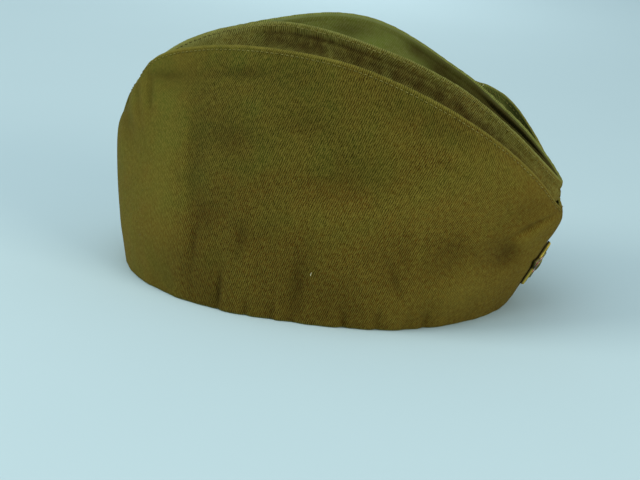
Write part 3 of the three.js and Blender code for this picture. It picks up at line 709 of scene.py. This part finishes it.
SIDES = (("right", -1), ("left", 1))
flaps = {side_name: flap_cloth(side) for side_name, side in SIDES}
for side_name, side in SIDES:
    outer, inner, masks = flaps[side_name]
    flap = shell_piece(f"cloth_flap_{side_name}", outer, inner, side, flap_twill, masks)
    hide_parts(f"flap_{side_name}")


# The side walls of the crown
# Each is one layer of the same twill. Its lower edge is caught between the flap and the rim, and its
# upper edge is turned over the top's and sewn down, which makes the ridge.

CROWN_CLOTH = 0.0014
RIDGE_RISE = 0.008
TOP_WIDTH = 0.057
VALLEY_DEPTH = 0.022
VALLEY_SHARPNESS = 1.5
WALL_LEAN = 2
WALL_COLUMNS = 300
WALL_ROWS = 84
RIDGE_BAND = 0.0032
BAND_RISE = 0.00045
FRONT_BULGE = 0.0024

# Waves of the walls' cloth: height and length
WALL_WAVES = (0.0010, 0.017)
WALL_PUCKERS = (0.0005, 0.008)
BAND_PUCKERS = (0.00018, 0.004)
# Mottle of the painted shade below the band: height and length
PAINTED_SHADE_WAVES = (0.0010, 0.007)

# Height is a share of the ridge's highest point, fullness a share of the oval TOP_WIDTH wide, valley
# a share of VALLEY_DEPTH
RIDGE = table("station height fullness valley left_drop", [
    (-1.00, 0.680, 0.50, 0.00, 0.000),
    (-0.90, 0.780, 0.47, 0.30, 0.010),
    (-0.80, 0.850, 0.50, 0.45, 0.018),
    (-0.71, 0.894, 0.48, 0.52, 0.020),
    (-0.62, 0.928, 0.46, 0.58, 0.020),
    (-0.53, 0.953, 0.44, 0.64, 0.020),
    (-0.44, 0.975, 0.46, 0.70, 0.020),
    (-0.35, 0.990, 0.50, 0.74, 0.016),
    (-0.26, 0.998, 0.57, 0.76, 0.008),
    (-0.13, 1.000, 0.78, 0.76, 0.000),
    (0.01, 0.990, 0.98, 0.76, 0.000),
    (0.14, 0.964, 0.98, 0.80, 0.000),
    (0.28, 0.924, 0.81, 0.90, 0.000),
    (0.42, 0.872, 0.65, 1.00, 0.000),
    (0.55, 0.817, 0.59, 0.96, 0.000),
    (0.69, 0.739, 0.58, 0.84, 0.000),
    (0.82, 0.656, 0.64, 0.62, 0.000),
    (0.95, 0.553, 0.66, 0.16, 0.000),
    (1.00, 0.503, 0.60, 0.00, 0.000),
])


def ridge_point(share, side):
    """The ridge. x runs between points just inside the flaps' ends, y is the oval TOP_WIDTH wide
    times its fullness, z its height from the table."""
    station = station_at(share)
    drop = value_at(RIDGE, "left_drop", station) if side > 0 else 0
    setback = FLAP_CLOTH + PLY_GAP
    rear, front = flap_point(np.array([0.0, 1.0]), np.ones(2), side)[:, 0] + (setback, -setback)
    x = (front + rear) / 2 + (front - rear) / 2 * station
    y = side * TOP_WIDTH / 2 * oval_at(station) * value_at(RIDGE, "fullness", station)
    z = (value_at(RIDGE, "height", station) - drop) * (FLAP_HEIGHT + RIDGE_RISE)
    return np.stack([x, y, z], axis=-1)


def wall_grid(side):
    """A wall's outside: the flap's lining at the rim, then a lean in to the ridge that grows with the
    rise to the power WALL_LEAN."""
    share = np.linspace(0, 1, WALL_COLUMNS + 1)[:, None] * np.ones((1, WALL_ROWS + 1))
    height = ridge_point(share[:, 0], side)[:, 2]
    rise = rolled_levels(height, CROWN_CLOTH / 2, WALL_COLUMNS, WALL_ROWS)
    flap = folded_flap_grid(share, rise, side)
    lining = offset_grid(flap, side_normals(flap, side), -FLAP_CLOTH - PLY_GAP, side)
    foot = lining[:, :1] * (1, 1, 0)
    lean = lerp(foot, ridge_point(share, side), rise[..., None])
    return lerp(lining, lean, rise[..., None] ** WALL_LEAN)


def wall_cloth(side):
    """A wall's outer and inner grid, masks and normals. Its outside has soft upright waves, a raised
    band along the ridge where the cloth lies double, and puckers along that band. In front of the rear
    it sinks below the band. Its front end bulges over the flaps' corner. Its colour takes painted shade
    below the band and, near the front, beside the flap's edge."""
    seed = 41 if side < 0 else 53
    grid = wall_grid(side)
    station = station_at(np.linspace(0, 1, WALL_COLUMNS + 1))[:, None]
    over = grid[..., 2] - flap_edge_height(np.ones(1), side)
    grid[..., 0] += FRONT_BULGE * bell(1 - station, 0.06) * np.clip(over / 0.0025, 0, 1) * bell(over, 0.011)
    normals = side_normals(grid, side)
    up = lengths_along(grid, 1)
    down = up[:, -1:] - up
    along = lengths_along(grid[:, WALL_ROWS // 2][:, None], 0) * np.ones_like(up)
    below = 1 - bell(down, 0.005)
    relief = soft_waves(along, up * 0.3, seed, *WALL_WAVES) * bell(down, 0.030) * below
    relief += soft_waves(along, up * 0.4, seed + 1, *WALL_PUCKERS) * np.exp(-down / 0.012) * below
    sunk = soft_step(station, -0.40, 0.03) * (1 - station**8)
    front = soft_step(station, 0.52, 0.06)
    rear = soft_step(-station, 0.36, 0.05)
    relief -= (0.0024 - 0.0010 * front) * sunk * bell(down - 0.0090, 0.0052)
    relief -= (0.0005 + (0.0014 - 0.0011 * front) * sunk) * bell(down - RIDGE_BAND - 0.0008, 0.0008)
    band = BAND_RISE * soft_step(-down, -RIDGE_BAND, 0.00025)
    relief += band
    relief += soft_waves(along, down, seed + 2, *BAND_PUCKERS) * np.exp(-down / 0.004)
    outer = offset_grid(grid, normals, relief, side)
    inner = offset_grid(grid, normals, np.minimum(relief, 0) - CROWN_CLOTH, side)
    # Painted shade: mottled below the band, beside the flap's edge near the front, and below the band at the
    # rear.
    shade = np.clip((down - RIDGE_BAND - 0.0030 * front) / 0.0008, 0, 1) * bell(down, 0.020, 4)
    painted_shade = 0.64 * (relief - band)
    painted_shade -= sunk * shade * (0.0003 + soft_waves(along, up, seed + 3, *PAINTED_SHADE_WAVES))
    painted_shade -= 0.0009 * bell(station - 0.58, 0.26) * np.clip((down - 0.0055) / 0.003, 0, 1)
    painted_shade -= 0.0004 * np.clip((down - RIDGE_BAND) / 0.0008, 0, 1) * soft_step(-station, 0.15, 0.08)
    worn_edge = lerp(down + 0.0007, down * 0.25, rear)
    return outer, inner, dict(u=along, v=up, edge=worn_edge, relief=painted_shade), normals


# A copy of the twill for the walls, coloured greener and lighter than the flaps' as painted sky light.
crown_twill = cloth_material(
    "crown_twill", (0.068, 0.073, 0.0060), (0.096, 0.056, 0.0040), (0.20, 0.200, 0.050)
)
walls = {side_name: wall_cloth(side) for side_name, side in SIDES}
for side_name, side in SIDES:
    outer, inner, masks, _ = walls[side_name]
    wall = shell_piece(f"cloth_wall_{side_name}", outer, inner, side, crown_twill, masks)
    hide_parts(f"crown_wall_{side_name}")


# The top of the crown
# A boat-shaped panel sewn in between the two ridges. Nothing holds it up, so it folds down along its
# middle into a valley that the flaps hide at the front and the rear.

TOP_ROWS = 96
TOP_START = 1.5 / 34
TUCK_DEPTH = 0.0036
TOP_WAVES = (0.0004, 0.024)
TOP_PUCKERS = (0.00012, 0.006)
TOP_DENTS = table(FOLD_COLUMNS, [
    (0.05, 1.01, 0, 0.09, 0.035, -0.70),
    (0.37, 0.975, -40, 0.05, 0.030, -0.95),
    (0.47, 0.92, -38, 0.16, 0.030, -0.60),
    (0.36, 0.90, 10, 0.12, 0.060, 0.45),
    (-0.20, 1.02, 20, 0.14, 0.060, -0.35),
    (-0.50, 0.98, -25, 0.12, 0.050, -0.35),
    (0.75, 0.66, -50, 0.09, 0.040, -0.35),
])


def top_cloth():
    """The top's outer and inner grid: straight across between the walls' upper edges, sunk by the
    valley's depth times one less the share across to the power VALLEY_SHARPNESS. Near the front a
    fold is tucked in beside the left ridge."""
    first = round(TOP_START * WALL_COLUMNS)
    columns = slice(first, WALL_COLUMNS + 1 - first)
    edges = []
    for side_name in ("right", "left"):
        _, inner, _, normals = walls[side_name]
        edges.append(inner[columns, -1] - normals[columns, -1] * PLY_GAP)
    station = station_at(np.linspace(0, 1, WALL_COLUMNS + 1)[columns])
    share = np.linspace(0, 1, TOP_ROWS + 1)[None, :, None]
    grid = lerp(edges[0][:, None], edges[1][:, None], share)
    valley = 1 - np.abs(share[..., 0] * 2 - 1) ** VALLEY_SHARPNESS
    grid[..., 2] -= value_at(RIDGE, "valley", station)[:, None] * VALLEY_DEPTH * valley
    grid[..., 2] += CROWN_CLOTH / 2 * (1 - valley)
    normals = grid_normals(grid, 1)
    up = lengths_along(grid, 1)
    along = lengths_along(grid[:, TOP_ROWS // 2][:, None], 0) * np.ones_like(up)
    edge = np.minimum(up, up[:, -1:] - up)
    free = 1 - bell(edge, 0.005)
    relief = fold_depth(grid, TOP_DENTS) * free
    relief += soft_waves(along, up * 0.5, 71, *TOP_WAVES) * free
    relief += soft_waves(along, up * 0.3, 73, *TOP_PUCKERS) * np.exp(-edge / 0.006)
    relief -= 0.00035 * bell(edge - RIDGE_BAND, 0.0006)
    relief -= TUCK_DEPTH * bell(station[:, None] - 0.76, 0.14, 4) * bell(share[..., 0] - 0.948, 0.013)
    outer = grid + normals * relief[..., None]
    inner = grid + normals * (np.minimum(relief, 0) - CROWN_CLOTH)[..., None]
    # Painted shade in the top's hollows, deeper towards the front.
    painted_shade = relief - 0.0003 - 0.0019 * soft_step(station[:, None], 0.26, 0.08)
    return outer, inner, dict(u=along, v=up, edge=edge, relief=painted_shade)


# A copy of the twill for the top, coloured greener and bluer than the flaps' as painted sky light from above.
top_twill = cloth_material(
    "top_twill", (0.084, 0.112, 0.0130), (0.066, 0.058, 0.0080), (0.14, 0.16, 0.050), 0.06, 0.00001
)
outer, inner, masks = top_cloth()
top = shell_piece("cloth_top", outer, inner, -1, top_twill, masks)
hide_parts("crown_top")


# The stitches
# One row of machine stitches runs below the edge of each flap and one along each ridge. The thread is
# cotton, a shade paler than the twill, and each stitch sinks into it at both ends.

STITCH_LENGTH = 0.0021
THREAD = 0.00045
PLY_TWIST = 0.0006
RIDGE_STITCH_INSET = RIDGE_BAND * 0.55
FLAP_BARE_END = 0.003
RIDGE_BARE_END = 0.006
STITCH_SIDES = 6
STITCH_RINGS = 6


def line_below(grid, masks, inset):
    """The values of a panel's grid, points or normals, at one distance of cloth below its upper edge,
    one for each column. Between two rows it is the straight line."""
    down = masks["v"][:, -1:] - masks["v"]
    row = np.argmin(np.abs(down - inset), axis=1)
    row = np.clip(row, 1, grid.shape[1] - 2)
    pick = np.arange(len(grid))
    across = np.where(down[pick, row] > inset, 1, -1)
    near, beyond = down[pick, row], down[pick, row + across]
    share = np.clip((near - inset) / np.where(near == beyond, 1, near - beyond), 0, 1)
    return lerp(grid[pick, row], grid[pick, row + across], share[:, None])


def stitch_row(name, line, outward, bare_end):
    """A row of stitches along a line of points, with a bare stretch at both ends. Each is a spindle:
    its radius is the thread's times the root of a half wave along it, and it arches a little off the
    cloth in its middle."""
    length = lengths_along(line[:, None], 0)[:, 0]
    middles = np.arange(bare_end, length[-1] - bare_end, STITCH_PITCH)
    t = np.linspace(-1, 1, STITCH_RINGS + 1)
    angle = np.linspace(0, 2 * np.pi, STITCH_SIDES, endpoint=False)

    def along_line(values, at):
        return np.stack([np.interp(at, length, values[:, axis]) for axis in range(3)], axis=-1)

    at = middles[:, None] + t * STITCH_LENGTH / 2
    centre = along_line(line, at)
    tangent = unit(along_line(line, at + 0.0002) - along_line(line, at - 0.0002))
    out = unit(along_line(outward, at))
    beside = np.cross(tangent, out)
    centre = centre + out * (THREAD * (0.55 - 1.3 * t**4))[None, :, None]
    radius = THREAD / 2 * np.sqrt(np.maximum(np.cos(t * np.pi / 2), 0.02))
    ring = out[:, :, None] * np.cos(angle)[:, None] + beside[:, :, None] * np.sin(angle)[:, None]
    points = centre[:, :, None] + ring * radius[None, :, None, None]
    count = len(middles)
    index = np.arange(points.size // 3).reshape(count, STITCH_RINGS + 1, STITCH_SIDES)
    caps = np.concatenate([index[:, 0, :], index[:, -1, ::-1]])
    u = at[:, :, None] + 0 * angle
    v = angle[None, None, :] + 0 * u
    faces = [*tube_quads(index).tolist(), *caps.tolist()]
    piece = make_piece(name, points.reshape(-1, 3), faces, thread, dict(u=u, v=v))
    return piece


def thread_material():
    """Twisted cotton thread: a slanting wave round it for the plies, painted shade between the plies, and
    uneven dye along it.
    """
    material, tree, shader = new_material("thread")
    split = tree.nodes.new("ShaderNodeSeparateXYZ")
    tree.links.new(cloth_uv(tree), split.inputs[0])
    turns = maths(tree, "MULTIPLY_ADD", split.outputs["X"], 2 * np.pi / PLY_TWIST, split.outputs["Y"])
    plies = maths(tree, "SINE", turns)
    uneven = noise(tree, object_place(tree), 300.0)
    colour = mix(tree, ramp(tree, uneven, 0.35, 0.65), (0.16, 0.14, 0.032), (0.29, 0.26, 0.075))
    # Painted shade in the hollows between the plies.
    colour = mix(tree, ramp(tree, plies, -1, 0.2, 0.4, 0.0), colour, (0.04, 0.032, 0.006))
    tree.links.new(colour, shader.inputs["Base Color"])
    shader.inputs["Roughness"].default_value = 0.85
    shader.inputs["Specular IOR Level"].default_value = 0.1
    raise_bump(tree, shader, plies, 0.00008)
    return material


thread = thread_material()
for side_name, side in SIDES:
    outer, inner, masks = flaps[side_name]
    for face, grid, turn in (("outside", outer, -side), ("inside", inner, side)):
        line = line_below(grid, masks, EDGE_STITCH_INSET)
        outward = line_below(grid_normals(grid, turn), masks, EDGE_STITCH_INSET)
        stitch_row(f"stitches_flap_{side_name}_{face}", line, outward, FLAP_BARE_END)
    outer, inner, masks, normals = walls[side_name]
    line = line_below(outer, masks, RIDGE_STITCH_INSET)
    outward = line_below(normals, masks, RIDGE_STITCH_INSET)
    stitch_row(f"stitches_ridge_{side_name}", line, outward, RIDGE_BARE_END)


# The lint
# Two pale threads of lint have caught on the cloth: one low on the right flap and one on the far ridge.

LINT_WIDTH = 0.00028
LINT_RINGS = 13
LINT_SIDES = 6
FLAP_LINT_PLACE = (0.0115, 0.0255)
RIDGE_LINT_SHARE = 0.70


def lint_thread(name, start, way, bend, length):
    """A bent thread: its middle line is a straight one plus a bend that grows with the square of the
    length run, and its radius is half its width times the root of a half wave."""
    t = np.linspace(0, 1, LINT_RINGS)[:, None]
    centre = start + way * length * t + bend * length * t**2
    tangent = unit(np.gradient(centre, axis=0))
    first = unit(np.cross(tangent, (0.3, 0.1, 0.9)))
    second = np.cross(tangent, first)
    angle = np.linspace(0, 2 * np.pi, LINT_SIDES, endpoint=False)[:, None]
    radius = LINT_WIDTH / 2 * np.sqrt(np.maximum(np.sin(np.pi * t), 0.05))
    ring = first[:, None] * np.cos(angle) + second[:, None] * np.sin(angle)
    points = centre[:, None] + ring * radius[:, None]
    index = np.arange(LINT_RINGS * LINT_SIDES).reshape(LINT_RINGS, LINT_SIDES)
    faces = [*tube_quads(index, reverse=True).tolist(), index[0, ::-1].tolist(), index[-1].tolist()]
    u = t + 0 * angle.T
    piece = make_piece(name, points.reshape(-1, 3), faces, lint, dict(u=u * length, v=angle.T + 0 * u))


lint, lint_tree, lint_shader = new_material("lint")
lint_shade = noise(lint_tree, object_place(lint_tree), 900.0)
lint_colour = mix(lint_tree, lint_shade, (0.55, 0.50, 0.30), (0.75, 0.72, 0.55))
lint_tree.links.new(lint_colour, lint_shader.inputs["Base Color"])
lint_shader.inputs["Roughness"].default_value = 0.8

outer = flaps["right"][0]
low = np.argmin(np.linalg.norm(outer[..., [0, 2]] - FLAP_LINT_PLACE, axis=-1) + (outer[..., 1] > 0))
caught = outer.reshape(-1, 3)[low] + (0, -0.0003, 0)
lint_thread("lint_flap", caught, np.array([0.0, -0.10, 1.0]), np.array([0.25, 0.0, 0.0]), 0.0020)
caught = walls["left"][0][round(RIDGE_LINT_SHARE * WALL_COLUMNS), -1] + (0, -0.0004, 0.0004)
lint_thread("lint_ridge", caught, np.array([0.6, -0.4, 0.5]), np.array([0.0, 0.0, 0.3]), 0.0014)


# The badge
# A five-pointed star stamped from brass, with a raised rim, a field of red enamel fired into it and a
# plain boss in its middle. A flat pin soldered behind it goes through the front seam and is bent over.

BADGE_RADIUS = 0.0135
BADGE_PLATE = 0.0011
BADGE_RIM = 0.0009
BADGE_RIM_WIDTH = 0.11
STAR_POINTS = 5
STAR_WAIST = 0.42
ENAMEL_CLEARANCE = 0.0003
ENAMEL_THICKNESS = 0.0005
BOSS_RADIUS = 0.0036
BOSS_HEIGHT = 0.0010
ARM_STEPS = 12
SHARP_TURN = np.radians(32)

# The enamel's section: a share of its width and of its thickness
ENAMEL_CROWN = [
    (0.97, 0.0), (1.0, 0.12), (1.0, 0.35), (0.98, 0.52), (0.93, 0.62), (0.80, 0.76), (0.6, 0.9), (0.4, 1.0),
]


def star_outline():
    """A unit star's outline: on each half arm, the straight line from the tip to the waist as a
    radius over the angle from the tip."""
    half_arm = np.pi / STAR_POINTS
    angle = np.arange(2 * STAR_POINTS * ARM_STEPS) * half_arm / ARM_STEPS
    fold = np.abs((angle + half_arm) % (2 * half_arm) - half_arm)
    radius = STAR_WAIST * np.sin(half_arm) / (np.sin(fold) + STAR_WAIST * np.sin(half_arm - fold))
    return np.stack([np.cos(angle + np.pi / 2), np.sin(angle + np.pi / 2)], axis=-1) * radius[:, None]


def stacked_piece(name, outline, profile, material):
    """A badge piece stacked from rings of one outline, closed by a point at both ends. The profile
    gives each ring's scale and height above the badge's seat. Edges that turn by more than SHARP_TURN
    stay sharp, and the sides of the plate carry painted shade."""
    scale, height = np.array(profile).T
    flat = outline[None] * scale[:, None, None]
    local = np.concatenate([flat, np.broadcast_to(height[:, None, None], (*flat.shape[:2], 1))], axis=-1)
    points = np.concatenate([local.reshape(-1, 3), [(0, 0, height[0]), (0, 0, height[-1])]])
    rings, count = len(scale), len(outline)
    index = np.arange(rings * count).reshape(rings, count)
    ahead = np.roll(index, -1, axis=1)
    bottom = np.stack([ahead[0], index[0], np.full(count, rings * count)], axis=-1)
    lid = np.stack([index[-1], ahead[-1], np.full(count, rings * count + 1)], axis=-1)
    axes = np.stack([badge_left, badge_up, badge_out])
    placed = badge_middle + badge_out * badge_seat + points @ axes
    # Painted shade on the plate's sides: points below most of the plate's height.
    tarnish = np.where(points[:, 2] < BADGE_PLATE * 0.8, 1.0, 0.0)
    faces = [*tube_quads(index, reverse=True).tolist(), *bottom.tolist(), *lid.tolist()]
    piece = make_piece(name, placed, faces, material, dict(tarnish=tarnish))
    piece.data.set_sharp_from_angle(angle=SHARP_TURN)
    return piece


def brass_material():
    """Brass: warm metal, dulled in broad patches, with painted shade on the plate's sides and fine scratches.
    """
    material, tree, shader = new_material("badge_brass")
    place = object_place(tree)
    dull = ramp(tree, noise(tree, place, 220.0, 4.0, 0.6), 0.40, 0.66)
    colour = mix(tree, dull, (0.30, 0.24, 0.045), (0.10, 0.082, 0.016))
    # Painted shade: the plate's sides are darkened.
    colour = mix(tree, point_mask(tree, "tarnish"), colour, (0.060, 0.045, 0.015))
    tree.links.new(colour, shader.inputs["Base Color"])
    tree.links.new(maths(tree, "MULTIPLY_ADD", dull, 0.20, 0.34), shader.inputs["Roughness"])
    shader.inputs["Metallic"].default_value = 1.0
    stretch = tree.nodes.new("ShaderNodeMapping")
    stretch.inputs["Scale"].default_value = (1.0, 9.0, 1.0)
    tree.links.new(place, stretch.inputs["Vector"])
    raise_bump(tree, shader, noise(tree, stretch.outputs["Vector"], 900.0, 2.0), 0.00005, 0.35)
    return material


def enamel_material():
    """Fired enamel: deep red glass with a darker cloud in it, and a surface that is a little wavy."""
    material, tree, shader = new_material("badge_enamel")
    place = object_place(tree)
    cloud = noise(tree, place, 400.0, 3.0)
    tree.links.new(mix(tree, cloud, (0.75, 0.050, 0.006), (0.42, 0.018, 0.004)), shader.inputs["Base Color"])
    tree.links.new(ramp(tree, cloud, 0.3, 0.7, 0.10, 0.20), shader.inputs["Roughness"])
    shader.inputs["Specular IOR Level"].default_value = 0.2
    raise_bump(tree, shader, noise(tree, place, 350.0, 1.0), 0.00004, 0.3)
    return material


brass = brass_material()
enamel = enamel_material()

across_rim = np.linspace(0, 1, 9)
rim_profile = [
    (1 - 2 * BADGE_RIM_WIDTH * s, BADGE_PLATE + BADGE_RIM * np.sqrt(max(0, 1 - (2 * s - 1) ** 2)))
    for s in across_rim
]
star = stacked_piece("badge_star_struck", star_outline() * BADGE_RADIUS, [
    (0.975, 0.0), (0.993, 0.00005), (1.0, 0.00018), (1.0, BADGE_PLATE * 0.6), *rim_profile,
    (1 - 2.2 * BADGE_RIM_WIDTH, BADGE_PLATE),
], brass)
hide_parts("badge_star")

enamel_base = BADGE_PLATE + ENAMEL_CLEARANCE
enamel_edge = 1 - BADGE_RIM_WIDTH * 2 - ENAMEL_CLEARANCE / (BADGE_RADIUS * STAR_WAIST)
field = stacked_piece("badge_enamel_fired", star_outline() * BADGE_RADIUS, [
    (enamel_edge * s, enamel_base + ENAMEL_THICKNESS * h)
    for s, h in ENAMEL_CROWN
], enamel)
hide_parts("badge_enamel")

boss_base = enamel_base + ENAMEL_CLEARANCE + ENAMEL_THICKNESS
circle = np.linspace(0, 2 * np.pi, 48, endpoint=False)
quarter = np.radians(np.linspace(0, 84, 10))
boss = stacked_piece("badge_boss_turned", np.stack([np.cos(circle), np.sin(circle)], axis=-1) * BOSS_RADIUS, [
    (0.97, boss_base), (1.0, boss_base + 0.00008),
    *((np.cos(a), boss_base + 0.00012 + (BOSS_HEIGHT - 0.00012) * np.sin(a)) for a in quarter),
], brass)
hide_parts("badge_boss")

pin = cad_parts["badge_pin"]
pin.data.materials.clear()
pin.data.materials.append(brass)


# The table and the light
# The cap stands by itself on a plain pale table. Soft lights stand above it, to the rear and in front,
# and a small one brightens the table behind it.

TABLE_RADIUS = 8.0
TABLE_CORNERS = 96


def table_material():
    """Matt pale paint with a barely seen mottle."""
    material, tree, shader = new_material("pale_table")
    mottle = noise(tree, object_place(tree), 6.0, 3.0)
    tree.links.new(mix(tree, mottle, (0.46, 0.61, 0.65), (0.48, 0.63, 0.67)), shader.inputs["Base Color"])
    shader.inputs["Roughness"].default_value = 0.9
    return material


circle = np.linspace(0, 2 * np.pi, TABLE_CORNERS, endpoint=False)
table_rim = np.stack([np.cos(circle), np.sin(circle), 0 * circle], axis=-1) * TABLE_RADIUS
disc = bpy.data.meshes.new("table_top")
disc.from_pydata(table_rim, [], [range(TABLE_CORNERS)])
disc.materials.append(table_material())
table_top = bpy.data.objects.new("table_top", disc)
bpy.context.scene.collection.objects.link(table_top)


def soft_light(name, place, aim, size, power, colour):
    """A square area light at a place, turned to what it is aimed at."""
    lamp = bpy.data.lights.new(name, "AREA")
    lamp.size = size
    lamp.energy = power
    lamp.color = colour
    light = bpy.data.objects.new(name, lamp)
    light.location = place
    light.rotation_euler = (Vector(place) - Vector(aim)).to_track_quat("Z", "Y").to_euler()
    bpy.context.scene.collection.objects.link(light)


CAP_MIDDLE = (0.0, 0.0, 0.06)
soft_light("light_above", (-0.4, -0.3, 1.9), CAP_MIDDLE, 1.6, 11.0, (0.95, 0.98, 1.0))
soft_light("light_rear", (-1.7, -0.7, 0.9), CAP_MIDDLE, 1.0, 23.0, (1.0, 0.98, 0.90))
soft_light("light_front", (1.6, -1.05, 0.6), CAP_MIDDLE, 1.0, 25.0, (1.0, 0.92, 0.78))
soft_light("light_far_table", (-0.16, 0.88, 0.26), (-0.16, 0.84, 0.0), 0.12, 0.30, (1.0, 1.0, 1.0))

world = bpy.data.worlds.new("pale_room")
world.use_nodes = True
world.node_tree.nodes["Background"].inputs["Color"].default_value = (0.55, 0.66, 0.72, 1.0)
world.node_tree.nodes["Background"].inputs["Strength"].default_value = 0.75
bpy.context.scene.world = world
bpy.context.scene.view_settings.view_transform = "Standard"


# The camera
# It looks at the cap's right side from a little in front of the middle and above, tilted a few degrees.

CAMERA_AZIMUTH = np.radians(10.0)
CAMERA_ELEVATION = np.radians(14.922)
CAMERA_YAW = np.radians(0.013)
CAMERA_PITCH = np.radians(-2.246)
CAMERA_ROLL = np.radians(4.827)
CAMERA_DISTANCE = 1.0
CAMERA_AIM = RIM_MIDDLE + (0, 0, 0.060)
FOCAL_PIXELS = 1950.38
FRAME_PIXELS = 640


def turned(first, second, angle):
    """Two directions at right angles, turned towards each other by an angle."""
    return first * np.cos(angle) + second * np.sin(angle), second * np.cos(angle) - first * np.sin(angle)


azimuth, elevation = CAMERA_AZIMUTH, CAMERA_ELEVATION
level_back = np.array([np.sin(azimuth), -np.cos(azimuth), 0.0])
back = level_back * np.cos(elevation) + (0, 0, np.sin(elevation))
right = np.array([np.cos(azimuth), np.sin(azimuth), 0.0])
ahead, right = turned(-back, right, CAMERA_YAW)
ahead, up = turned(ahead, np.cross(right, ahead), CAMERA_PITCH)
right, up = turned(right, up, CAMERA_ROLL)
lens = bpy.data.cameras.new("camera")
lens.sensor_width = 36.0
lens.lens = FOCAL_PIXELS * lens.sensor_width / FRAME_PIXELS
camera = bpy.data.objects.new("camera", lens)
bpy.context.scene.collection.objects.link(camera)
axes = Matrix((right.tolist(), up.tolist(), (-ahead).tolist())).transposed()
camera.matrix_world = Matrix.Translation(Vector(CAMERA_AIM + back * CAMERA_DISTANCE)) @ axes.to_4x4()
bpy.context.scene.camera = camera
